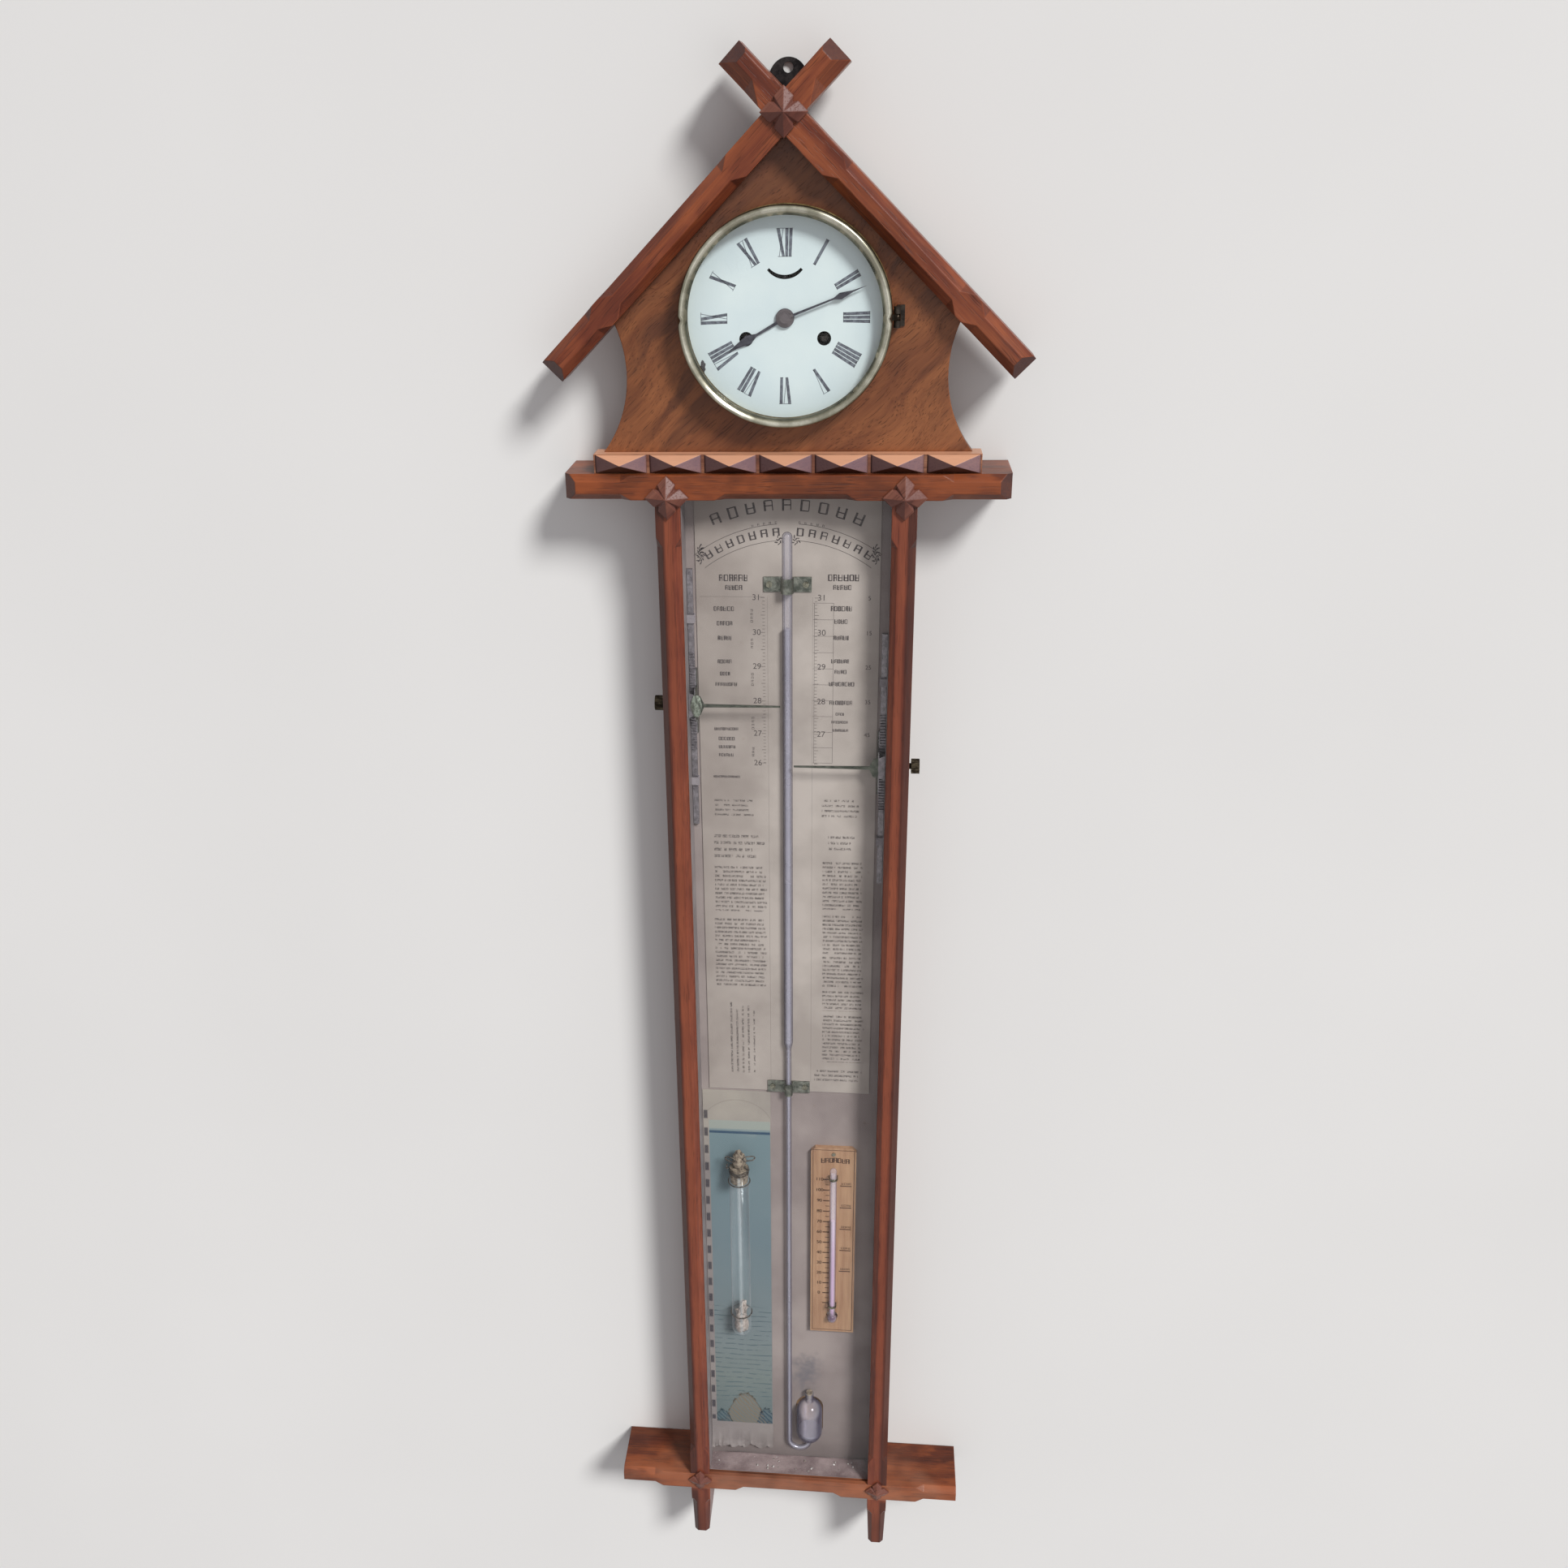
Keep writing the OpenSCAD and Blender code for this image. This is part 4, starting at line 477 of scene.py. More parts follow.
# painted shade: the chart is darker towards its left
colour = ((1 - x.fade(-0.070, 0.012)) * 0.36).blend(colour, (120, 107, 101))
chartBlocks = [
    # x0, x1, z0, z1, pitch, fill, ragged
    (-56.5, -16.5, -548, -526, 5.6, 0.42, 10), (-56.5, -16.3, -592.5, -553, 3.75, 0.5, 3),
    (-57.5, -16.5, -661, -598.5, 3.65, 0.5, 3), (-55.5, -26, -513, -497, 3.9, 0.4, 8),
    (25, 54, -513, -495.5, 4.2, 0.4, 7), (30, 50, -540, -525.5, 4.8, 0.4, 3),
    (26, 56.5, -589, -547.5, 3.6, 0.5, 3), (26.2, 57.5, -610, -593.5, 3.6, 0.5, 3),
    (26.3, 58, -628, -611.3, 3.6, 0.5, 3), (26.4, 58.5, -658, -630, 3.6, 0.5, 3),
    (26.5, 59, -680, -661, 3.6, 0.5, 3), (26.7, 60, -728, -683.5, 3.6, 0.5, 4),
    (20.5, 60.5, -748, -735, 4.2, 0.45, 6)]
ink = printedLines(point, x, z, chartBlocks[0], 0.0)
for number, block in enumerate(chartBlocks[1:], 1):
    ink = ink.math("MAXIMUM", printedLines(point, x, z, block, 0.173 * number))
# a narrow upright list at the foot of the left column
across = point.placed(turn=(0, math.pi / 2, 0))
ax, az = across.axes()[::2]
listMarks = printedLines(across, ax, az, (-741, -672, 27, 47.5, 4.6, 0.34, 12), 5.1)
ink = ink.math("MAXIMUM", listMarks)
frames = z.between(-0.3402, -0.3398) * x.between(-0.0626, -0.0165)
for rule in ((-0.01455, -0.01425), (0.01765, 0.01795)):
    frames = frames + x.between(*rule) * z.between(-0.748, -0.340)
ink = (ink * 0.78 + frames * 0.35).math("MINIMUM", 1.0)
feed(shader, ink.blend(colour, (66, 60, 60)), normal=relief)

inkFinish = mottled("printInk", {"Roughness": 0.8}, (900, 2), (0.3, (58, 52, 54)),
                    (0.75, (96, 87, 84)))
plateInk = mottled("plateInk", {"Roughness": 0.7}, (700, 2), (0.3, (58, 36, 28)),
                   (0.75, (92, 62, 46)))
numeralInk = mottled("numeralInk", {"Roughness": 0.45}, (420, 3), (0.35, (70, 72, 82)),
                     (0.7, (122, 130, 138)))

enamelFinish, shader, point = newFinish("dialEnamel", {"Coat Weight": 0.5, "Coat Roughness": 0.08})
chip = point.reach((-0.0538, 0, -0.1778), (1.5, 0, 0.62))
chipMask = 1 - (chip + (point.noise(500, 2) - 0.5) * 0.003).fade(0.0022, 0.0026)
crazing = point.node("TexVoronoi", {"feature": "DISTANCE_TO_EDGE"},
                     {"Vector": point.placed(scale=(1, 0.2, 1)), "Scale": 55})
crazing = (1 - crazing.fade(0.0, 0.006)) * point.noise(40, 2).fade(0.55, 0.7)
# painted shade: the enamel is painted darker towards its rim, where the bezel's shadow falls
rim = point.reach(dialCentre, (1, 0, 1)).fade(0.036, 0.064)
colour = point.noise(26, 3).ramp((0.3, (212, 228, 229)), (0.7, (222, 236, 234))).under(
    (crazing * 0.25, (150, 160, 160)), (rim * 0.5, (188, 204, 206)), (chipMask, (60, 58, 62)))
feed(shader, colour, point.noise(60, 3) * 0.1 + 0.2,
     (point.noise(30, 2) - chipMask).bump(0.00015, 0.4))


# Glass seen through. What it keeps back grows towards its edge, veil is a milky share all over,
# low is the stretch of z over which the veil fades away downwards. rim is the colour of a painted
# dark outline over the share hem, a painted shade, and streak the middle and half width of an
# upright painted highlight
def clearGlass(name, tint, bend=5.0, dust=0.01, veil=0.0,
               shades=((236, 237, 239), (250, 250, 250)), metallic=1.0, rough=0.01,
               low=None, rim=None, hem=(0.2, 0.55), streak=None):
    finish, shader, point = newFinish(name, {"Metallic": metallic})
    smear = point.noise(24, 4, 0.6)
    edge = smear.node("LayerWeight", None, {"Blend": 0.5}, out=1)
    colour = smear.ramp((0.3, shades[0]), (0.7, shades[1]))
    # painted shade: the outline is painted dark
    if rim:
        colour = edge.fade(*hem).blend(colour, rim)
    feed(shader, colour, smear * 0.06 + rough)
    share = edge.math("POWER", bend) + smear.fade(0.45, 0.8) * dust + 0.01
    share = share + (point.axes()[2].fade(*low) * veil if low else veil)
    # painted highlight: an upright pale streak down the glass
    if streak:
        middle, half = streak
        share = share + point.axes()[0].between(middle - half, middle + half, 0.0010) * 0.32
    thinned(finish, share.math("MINIMUM", 0.92), tint)
    return finish


paneGlass = clearGlass("paneGlass", (0.975, 0.98, 0.98, 1))
dialGlass = clearGlass("dialGlass", (0.985, 0.985, 0.985, 1))
tubeGlass = clearGlass("tubeGlass", (0.975, 0.972, 0.98, 1), 1.5, 0.02, 0.08,
                       ((176, 173, 184), (208, 206, 216)), 0.2, 0.10, rim=(88, 84, 104))
# its streak is a painted highlight down the storm glass
stormGlassFinish = clearGlass("stormGlassFinish", (0.985, 0.99, 0.99, 1), 2.6, 0.01, 0.01,
                              ((196, 206, 210), (226, 232, 234)), 0.4, 0.05,
                              streak=(-0.0405, 0.0012))
thermoGlass = clearGlass("thermoGlass", (0.98, 0.975, 0.98, 1), 2.0, 0.02, 0.15,
                         ((214, 204, 214), (238, 230, 240)), 0.1, 0.08, (-0.984, -0.974),
                         rim=(108, 80, 102), hem=(0.35, 0.75))

stormLiquidFinish, shader, point = newFinish("stormLiquidFinish", {"Roughness": 0.3})
cloud = point.noise(60, 4, 0.6)
feed(shader, cloud.ramp((0.3, (147.2, 161.92, 167.44)), (0.7, (160, 176, 182))))
thinned(stormLiquidFinish, cloud * 0.1, (0.975, 0.985, 0.985, 1))

spiritFinish, shader, point = newFinish("spiritLilac", {"Roughness": 0.2, "Coat Weight": 0.6})
z = point.axes()[2]
feed(shader, z.fade(-0.985, -0.976).blend((84, 56, 78), (192, 138, 188)).under(
    (point.noise(90, 3) * 0.3, (150, 112, 150)), (z.fade(-0.950, -0.862) * 0.75, (218, 206, 216))))

corkFinish, shader, point = newFinish("corkFinish", {"Roughness": 0.85})
grains = point.node("TexVoronoi", None, {"Vector": point, "Scale": 700})
feed(shader, point.noise(380, 4, 0.6).ramp((0.35, (84, 72, 62)), (0.7, (170, 156, 136))),
     normal=(grains + point.noise(600, 3)).bump(0.0003, 0.8))

crystalFinish = mottled("stormCrystals", {"Roughness": 0.5}, (300, 4, 0.65), (0.36, (104, 92, 84)),
                        (0.5, (158, 142, 132)), (0.66, (192, 178, 168)), relief=(700, 0.0004, 1.0))

boxwood, shader, point = newFinish("thermometerBoxwood", {"Coat Weight": 0.25,
                                                          "Coat Roughness": 0.2})
grain = point.placed(scale=(1, 1, 0.05)).noise(320, 4, 0.6)
colour = (grain * 0.7 + point.noise(30, 3) * 0.3).ramp((0.34, (152, 112, 84)),
                                                       (0.66, (186, 148, 114)))
feed(shader, colour, grain * 0.15 + 0.34, grain.bump(0.0001, 0.6))

# ---- storm label print, laid out in metres
labelPaper, shader, point, colour, relief = paperFinish("labelPaper", (172, 164, 153),
                                                        (148, 140, 134), 0.3)
labelSet = {"across": (-0.0664, -0.0156), "upright": (-1.1214, -0.789), "line": (-0.802, -0.7995),
            "skyTop": (-0.7985, -0.7965), "ripples": (-1.095, -0.985), "hillDeep": 0.034,
            "dotsX": (-0.0706, -0.0674), "dotsZ": (-1.119, -0.779), "dotPitch": 0.0176,
            "dotStart": -0.7745, "archCentre": (-0.0431, -0.0231, -0.799),
            "archRadius": (0.0305, 0.0309), "archFoot": (-0.787, -0.784)}
x, y, z = point.axes()
low, high = labelSet["upright"]
height = (z - low) / (high - low)
# rolling ground and ripples stand in for the picture at the foot
ripple = (z * 1150 + point.noise(30, 3) * 8).math("SINE").fade(0.62, 0.96)
ripple = ripple * z.between(*labelSet["ripples"], 0.008) * point.noise(160, 2).fade(0.36, 0.56)
field = (height + (point.noise(38, 4, 0.6) - 0.5) * 0.12).ramp(
    (0.0, (98, 112, 114)), (0.16, (120, 130, 127)), (0.33, (121, 132, 134)),
    (0.62, (112, 129, 135)), (0.95, (118, 138, 143)), (1.0, (148, 157, 154)))
field = field.under((z.between(*labelSet["line"], 0.0004), (62, 84, 104)),
                    (z.fade(*labelSet["skyTop"]), (158, 164, 156)),
                    (ripple * 0.7, (78, 96, 102)))
deep = labelSet["hillDeep"]
for peak, centre, width, shade in ((-1.084, -0.040, 0.019, (126, 114, 98)),
                                   (-1.105, -0.061, 0.013, (62, 84, 94)),
                                   (-1.101, -0.021, 0.012, (58, 78, 92))):
    slope = 1 - ((x - centre) / width).math("POWER", 2.0)
    hill = slope.math("MAXIMUM", 0.0) * deep + (peak - deep)
    inside = (hill + (point.noise(300, 4, 0.8) - 0.5) * 0.024 - z).fade(0.001, 0.002)
    hatch = ((x - centre) * 1500 + z * 1300 + point.noise(120, 3) * 9).math("SINE").fade(0.0, 0.6)
    ridge = inside * (1 - (hill - z).fade(0.002, 0.0045))
    field = field.under((inside * (hatch * 0.6 + 0.35), shade),
                        (ridge * 0.85, [c * 0.62 for c in shade]))
blue = x.between(*labelSet["across"], 0.0003) * z.between(*labelSet["upright"], 0.0003)
dot = ((z - labelSet["dotStart"]) / labelSet["dotPitch"]).math("FRACT").between(0.25, 0.72, 0.05)
dot = dot * x.between(*labelSet["dotsX"], 0.0004) * z.between(*labelSet["dotsZ"])
arch = point.reach(labelSet["archCentre"]).between(*labelSet["archRadius"], 0.0002)
arch = arch * z.fade(*labelSet["archFoot"])
# the paper is greyer below its top, and dirty at its curled foot
soiled = (1 - z.fade(-1.150, -1.119)) * point.noise(60, 4, 0.65).fade(0.36, 0.60)
colour = colour.under(((1 - z.fade(-0.86, -0.775)) * 0.62, (130, 122, 124)),
                      (soiled * 0.6, (102, 92, 90)), (blue, field),
                      (dot * 0.85, (58, 54, 62)), (arch * 0.5, (112, 104, 98)))
feed(shader, colour, normal=relief)
print("finishes mixed")


# ---- finishes of the solids
nodeFinish = {
    timberUp: ["stile_left", "stile_right"],
    timberCross: ["crossbeam", "bottom_bar"],
    timberFrieze: ["frieze_block", "frieze_pyramids"],
    timberBoard: ["pediment_board", "gable_block"],
    timberLeftRoof: ["roof_bar_left"],
    timberRightRoof: ["roof_bar_right"],
    timberBoss: ["apex_boss", "corner_bosses"],
    timberDeal: ["back_board", "clock_back_board"],
    timberDealCross: ["clock_box"],
    ironPlate: ["hanging_plate", "regulator", "strike_hammer", "pallet_lever"],
    plateShadeDark: ["front_plate"],
    screwSteel: ["wood_screws"],
    paneGlass: ["trunk_glass"],
    dialGlass: ["bezel_glass"],
    liningPaper: ["lining_paper"],
    chartPaper: ["chart"],
    labelPaper: ["storm_label"],
    tubeGlass: ["barometer_tube"],
    thermoGlass: ["thermometer_tube"],
    mercuryMetal: ["mercury"],
    strapBrass: ["tube_straps"],
    corkFinish: ["cistern_plug", "storm_cork"],
    pointerBrass: ["left_pointer", "right_pointer"],
    rackZinc: ["rack_guides"],
    knobBrass: ["left_knob", "right_knob"],
    stormGlassFinish: ["storm_glass"],
    stormLiquidFinish: ["storm_liquid"],
    wireDark: ["storm_ties"],
    boxwood: ["thermometer_plate"],
    spiritFinish: ["thermometer_spirit"],
    pinBrass: ["brass_pins"],
    drumBrass: ["clock_drum"],
    bezelBrass: ["bezel"],
    hingeBronze: ["bezel_hinge"],
    enamelFinish: ["dial"],
    handSteel: ["hour_hand", "minute_hand"],
    barrelBrass: ["going_barrel", "strike_barrel"],
    wheelBrass: ["hour_wheel", "centre_wheel", "minute_wheel", "back_plate", "third_wheel",
                 "escape_wheel", "balance_wheel"],
    bellMetal: ["bell"]}
for finish, names in nodeFinish.items():
    for name in names:
        holder = nodes[name]
        if not holder.material_slots:
            holder.data.materials.append(finish)
        for held in holder.material_slots:
            held.material = finish
missing = sorted(set(nodes) - {n for names in nodeFinish.values() for n in names})
print("solids without a finish:", missing)


# clear glass is left out of shadows, so that what lies behind two or three walls stays bright
def clearWalls(pieces):
    for one in pieces:
        one.visible_shadow = False
        one.visible_diffuse = False


clearWalls([nodes[name] for name in ("trunk_glass", "bezel_glass", "barometer_tube",
                                     "thermometer_tube", "storm_glass", "storm_liquid")])


# ---- modelling helpers
def selectOnly(objects):
    bpy.ops.object.select_all(action="DESELECT")
    for one in objects:
        one.select_set(True)
    bpy.context.view_layer.objects.active = objects[0]


def applyPlace(piece):
    selectOnly([piece])
    bpy.ops.object.transform_apply(location=True, rotation=True, scale=True)
    return piece


# everything selected in edit mode while the block runs
@contextlib.contextmanager
def editing(piece):
    selectOnly([piece])
    bpy.ops.object.mode_set(mode="EDIT")
    bpy.ops.mesh.select_all(action="SELECT")
    yield
    bpy.ops.object.mode_set(mode="OBJECT")


def joined(parts, name):
    selectOnly(parts)
    if len(parts) > 1:
        bpy.ops.object.join()
    piece = bpy.context.object
    piece.name = name
    piece.data.name = name
    return applyPlace(piece)


def thickened(piece, thickness, offset=0):
    selectOnly([piece])
    skin = piece.modifiers.new("skin", "SOLIDIFY")
    skin.thickness, skin.offset = thickness, offset
    bpy.ops.object.modifier_apply(modifier=skin.name)


def dressed(piece, finish, body):
    piece.data.materials.clear()
    piece.data.materials.append(finish)
    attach(piece, body)
    return piece


# a copy with its own mesh, moved or turned by a matrix
def copied(piece, matrix):
    twin = piece.copy()
    twin.data = piece.data.copy()
    scene.collection.objects.link(twin)
    twin.data.transform(matrix)
    return twin


# a flat card facing the front: middle x, z and width, height in mm, at a distance out from the wall
def card(x, z, width, height, out):
    bpy.ops.mesh.primitive_plane_add(size=1, location=(x * mm, -out * mm, z * mm),
                                     rotation=(math.pi / 2, 0, 0))
    plate = bpy.context.object
    plate.scale = (width * mm, height * mm, 1)
    return applyPlace(plate)


# a flat grid about the middle, width and height in mm, facing the front unless it is turned
def sheet(columns, rows, width, height, turn=math.pi / 2):
    bpy.ops.mesh.primitive_grid_add(x_subdivisions=columns, y_subdivisions=rows, size=1,
                                    rotation=(turn, 0, 0))
    made = bpy.context.object
    made.scale = (width * mm, height * mm, 1)
    return applyPlace(made)


# a copy of a mark of 1 mm by 1 mm, stretched, turned and set down. Print and ticks are made so
def laid(mark, x, z, width, height, turn=0.0):
    return copied(mark, Matrix.Translation((x * mm, 0, z * mm))
                  @ Matrix.Rotation(math.radians(turn), 4, "Y")
                  @ Matrix.Diagonal((width, 1, height, 1)))


# a greeked letter: two uprights and one or two bars, turned about its middle
def letterMarks(mark, x, z, width, height, weight, turn=0.0):
    lean = math.radians(turn)
    bars = [(-width / 2, 0, weight, height * dice.uniform(0.82, 1)),
            (width / 2, 0, weight * dice.choice((0.5, 1)), height * dice.uniform(0.82, 1))]
    for level in dice.sample((-0.42, 0, 0.42), 2):
        bars.append((0, level * height, width, weight * 0.55))
    return [laid(mark, x + right * math.cos(lean) + up * math.sin(lean),
                 z - right * math.sin(lean) + up * math.cos(lean), wide, tall, turn)
            for right, up, wide, tall in bars]


# a thin rule bent along an arc, angles in degrees to the right of straight up
def arcRule(mark, x, z, radius, first, last, weight, steps=24):
    made = []
    turn = (last - first) / steps
    for step in range(steps):
        angle = first + turn * (step + 0.5)
        lean = math.radians(angle)
        made.append(laid(mark, x + radius * math.sin(lean), z + radius * math.cos(lean),
                         radius * math.radians(abs(turn)) * 1.04, weight, angle))
    return made


def cleared(pieces):
    for one in pieces:
        bpy.data.objects.remove(one)


def smoothed(piece, degrees=40):
    selectOnly([piece])
    bpy.ops.object.shade_smooth_by_angle(angle=math.radians(degrees))
    return piece


# doubles merged and faces turned outwards
def cleaned(piece):
    with editing(piece):
        bpy.ops.mesh.remove_doubles(threshold=0.000004)
        bpy.ops.mesh.normals_make_consistent(inside=False)
    return piece


# letters and numbers as a thin mesh facing the front
def figure(text, x, z, size, out):
    bpy.ops.object.text_add(location=(x * mm, -out * mm, z * mm),
                            rotation=(math.pi / 2, 0, 0))
    words = bpy.context.object
    words.data.body = text
    words.data.size = size * mm
    words.data.align_x = words.data.align_y = "CENTER"
    selectOnly([words])
    bpy.ops.object.convert(target="MESH")
    return applyPlace(bpy.context.object)


# ---- dial numerals
numeralSet = {"inner": 37.4, "outer": 54.6, "out": 44.45, "thick": 2.1, "thin": 0.4, "serif": 0.3,
              "taper": 0.84, "widths": {"I": 2.6, "V": 5.4, "X": 5.4}}


def stroke(foot, head, width, height):
    lean = math.atan2(head - foot, height)
    bar = card(0, 0, width * math.cos(lean), height * 1.5, numeralSet["out"])
    bar.data.transform(Matrix.Rotation(lean, 4, "Y"))
    bar.data.transform(Matrix.Translation(((foot + head) / 2 * mm, 0, height / 2 * mm)))
    with editing(bar):
        for cut, side in ((0.0, (0, 0, -1)), (height, (0, 0, 1))):
            bpy.ops.mesh.select_all(action="SELECT")
            bpy.ops.mesh.bisect(plane_co=(0, 0, cut * mm), plane_no=side, clear_outer=True)
    return bar


def numeral(text):
    height = numeralSet["outer"] - numeralSet["inner"]
    thick, thin = numeralSet["thick"], numeralSet["thin"]
    widths = numeralSet["widths"]
    parts = []
    start = -sum(widths[c] for c in text) / 2
    for letter in text:
        end = start + widths[letter]
        middle, low, high = (start + end) / 2, start + thick / 2, end - thick / 2
        bars = {"I": [(middle, middle, thick)],
                "V": [(middle, low, thick), (middle + 0.3, high + 0.5, thin)],
                "X": [(high, low, thick), (low, high, thin)]}
        parts += [stroke(*bar, height) for bar in bars[letter]]
        for level in (numeralSet["serif"] / 2, height - numeralSet["serif"] / 2):
            if letter != "V" or level > 2:
                parts.append(card(middle, level, widths[letter] - 0.2, numeralSet["serif"],
                                  numeralSet["out"]))
        start = end
    word = joined(parts, "numeral")
    # feet towards the middle are a little narrower
    for point in word.data.vertices:
        point.co.x *= numeralSet["taper"] + (1 - numeralSet["taper"]) * point.co.z / (height * mm)
    return word


numerals = []
for hour, text in enumerate("I II III IIII V VI VII VIII IX X XI XII".split(), 1):
    word = numeral(text)
    word.data.transform(Matrix.Translation(dialCentre)
                        @ Matrix.Rotation(math.radians(30 * hour), 4, "Y")
                        @ Matrix.Translation((0, 0, numeralSet["inner"] * mm)))
    numerals.append(word)
dressed(joined(numerals, "dial_numerals"), numeralInk, "case")
print("dial numerals laid")


# ---- bezel, turned brass with a rounded rim
bezelRing = copied(nodes["bezel"], Matrix.Identity(4))
bezelRing.name = "bezel_ring"
bezelRing.data.name = "bezel_ring"
smoothed(cleaned(bezelRing), 62)
dressed(bezelRing, bezelBrass, "bezel_leaf")
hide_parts("bezel")
print("bezel turned")


# ---- numbers, words and rules on the chart
chartSet = {"out": 23.13, "leftNumbers": -22.2, "rightNumbers": 24.2, "farNumbers": 57.8,
            "levels": (-340.5, -366.3, -392.0, -418.5, -444.0, -467.5),
            # middle x, z and radius, reach in degrees, letters, height, weight
            "heading": (-0.3, -404.7, 130.6, 22.4, 9, 8.6, 1.5),
            "banner": (0.5, -395.4, 102.5, 33.0, 15, 6.0, 1.25),
            "tail": (0.3, -404.7, 118.5, 12.0, 13, 1.7, 0.35)}
chartMark = card(0, 0, 1, 1, chartSet["out"])
chartPrint = []
for step, level in enumerate(chartSet["levels"]):
    numbers = ((31 - step, "leftNumbers", 6.2), (31 - step, "rightNumbers", 6.2),
               (step * 10 + 5, "farNumbers", 4.4))
    # the lowest line is numbered at the left alone
    for number, column, size in numbers[:3 if step < 5 else 1]:
        chartPrint.append(figure(str(number), chartSet[column], level, size, chartSet["out"]))
    for tenth in range(10):
        if level - tenth * 2.55 > -470:
            long = 3.0 if tenth % 5 == 0 else 1.8
            for middle in (-16.2 - long / 2, 19.2 + long / 2):
                chartPrint.append(laid(chartMark, middle, level - tenth * 2.58, long, 0.28))


# a greeked word: a row of short upright marks
def marks(x, z, width, height):
    made = []
    place = x - width / 2
    while place < x + width / 2:
        wide = dice.uniform(0.5, 0.9) * height * 0.66
        made += letterMarks(chartMark, place + wide / 2, z, wide, height * 1.2, height * 0.26)
        place += wide + height * 0.36
    return made


leftWords = ((-348.9, 14, 3.0), (-359.7, 10, 2.8), (-370.7, 9, 2.8), (-388.5, 10, 2.6),
             (-397.8, 7, 2.6), (-405.9, 14, 2.4), (-440.8, 17, 2.0), (-448.5, 11, 2.4),
             (-455.0, 11, 2.2), (-461.5, 11, 2.2), (-479.0, 20, 1.6))
rightWords = ((-348.2, 14, 3.2), (-357.7, 9, 2.8), (-369.8, 10, 2.8), (-387.4, 13, 2.6),
              (-395.4, 8, 2.6), (-404.7, 16, 2.8), (-419.1, 15, 2.8), (-427.9, 6, 2.0),
              (-434.2, 12, 1.8), (-440.6, 10, 1.8))
for x, words in ((-45.4, leftWords), (38.0, rightWords), (-38.0, ((-326.2, 20, 4.2),)),
                 (-38.4, ((-333.3, 11, 3.2),)), (38.4, ((-325.7, 19, 4.2),)),
                 (38.5, ((-332.7, 12, 3.2),))):
    for word in words:
        chartPrint += marks(x, *word)
# words that stand upright beside the left scale
for z, count in ((-350, 4), (-372, 3), (-398, 4), (-432, 4), (-456, 3)):
    for step in range(count):
        chartPrint += letterMarks(chartMark, -25.6, z - step * 2.7, 1.3, 1.9, 0.4, 90)
# arched lines of letters
for line in ("heading", "banner", "tail"):
    x, z, radius, reach, count, height, weight = chartSet[line]
    for step in range(count):
        angle = reach * (2 * step / (count - 1) - 1)
        if line == "heading" or abs(angle) > 3.5:
            lean = math.radians(angle)
            chartPrint += letterMarks(chartMark, x + radius * math.sin(lean),
                                      z + radius * math.cos(lean), height * 0.62, height, weight,
                                      angle)
x, z, radius = chartSet["banner"][:3]
for offset in (-6.2, 5.6):
    for first, last in ((-37.5, -4.2), (4.2, 37.0)):
        chartPrint += arcRule(chartMark, x, z, radius + offset, first, last, 0.35)
# leafy scrolls at both ends of the banner and behind the top of the tube
bpy.ops.mesh.primitive_circle_add(vertices=12, radius=0.5 * mm, fill_type="NGON",
                                  location=(0, -chartSet["out"] * mm, 0),
                                  rotation=(math.pi / 2, 0, 0))
leafMark = applyPlace(bpy.context.object)
for x, z, wide, tall, count in ((-61.2, -309.5, 2.6, 7.0, 22), (61.6, -309.0, 2.6, 7.0, 22),
                                (-5.6, -299.0, 2.6, 3.6, 8), (6.0, -299.0, 2.6, 3.6, 8)):
    for step in range(count):
        angle = step * 2.4
        spread = math.sqrt((step + 0.5) / count)
        chartPrint.append(laid(leafMark, x + wide * spread * math.sin(angle),
                               z + tall * spread * math.cos(angle), dice.uniform(0.7, 1.1),
                               dice.uniform(1.8, 2.8), math.degrees(angle) + 35))
# cells beside the right scale
for step in range(11):
    chartPrint.append(laid(chartMark, 25.4, -344.2 - step * 12.25, 14.6, 0.22))
for x in (19.0, 32.6):
    chartPrint.append(laid(chartMark, x, -405.5, 0.22, 122.5))
cleared([chartMark, leafMark])
dressed(joined(chartPrint, "chart_figures"), inkFinish, "case")
print("chart print laid")


# ---- print on the thermometer plate
thermoSet = {"out": 26.34, "left": 24.6, "right": 53.4, "top": -841.8, "pitch": 10.95, "ticks": 13,
             "rightTop": -847.9, "rightPitch": 22.5}
plateMark = card(0, 0, 1, 1, thermoSet["out"])
platePrint = []
for step in range(thermoSet["ticks"]):
    level = thermoSet["top"] - thermoSet["pitch"] * step
    platePrint.append(laid(plateMark, 31.4, level, 5.4, 1.1))
    platePrint.append(laid(plateMark, 32.4, level - thermoSet["pitch"] / 2, 3.2, 0.7))
    if step < 12:
        number = figure(str(110 - 10 * step), 25.6, level, 4.4, thermoSet["out"])
        platePrint += [number, copied(number, Matrix.Translation((0.22 * mm, 0, 0)))]
for step in range(5):
    level = thermoSet["rightTop"] - thermoSet["rightPitch"] * step
    platePrint.append(laid(plateMark, 47.6, level, 9.6, 1.0))
    for place in range(4):
        platePrint += letterMarks(plateMark, 44.9 + place * 2.1, level + 2.4, 1.2, 2.2, 0.45)
for place in range(7):
    platePrint += letterMarks(plateMark, 28.4 + place * 3.4, -821.8 - abs(place - 3) * 0.3,
                              2.2, 5.0, 1.1)
for x in (20.2, 54.3):
    platePrint.append(laid(plateMark, x, -907.5, 0.5, 191))
for z in (-812.0, -1003.0):
    platePrint.append(laid(plateMark, 37.25, z, 34.4, 0.5))
cleared([plateMark])
dressed(joined(platePrint, "thermometer_figures"), plateInk, "case")
print("thermometer plate printed")


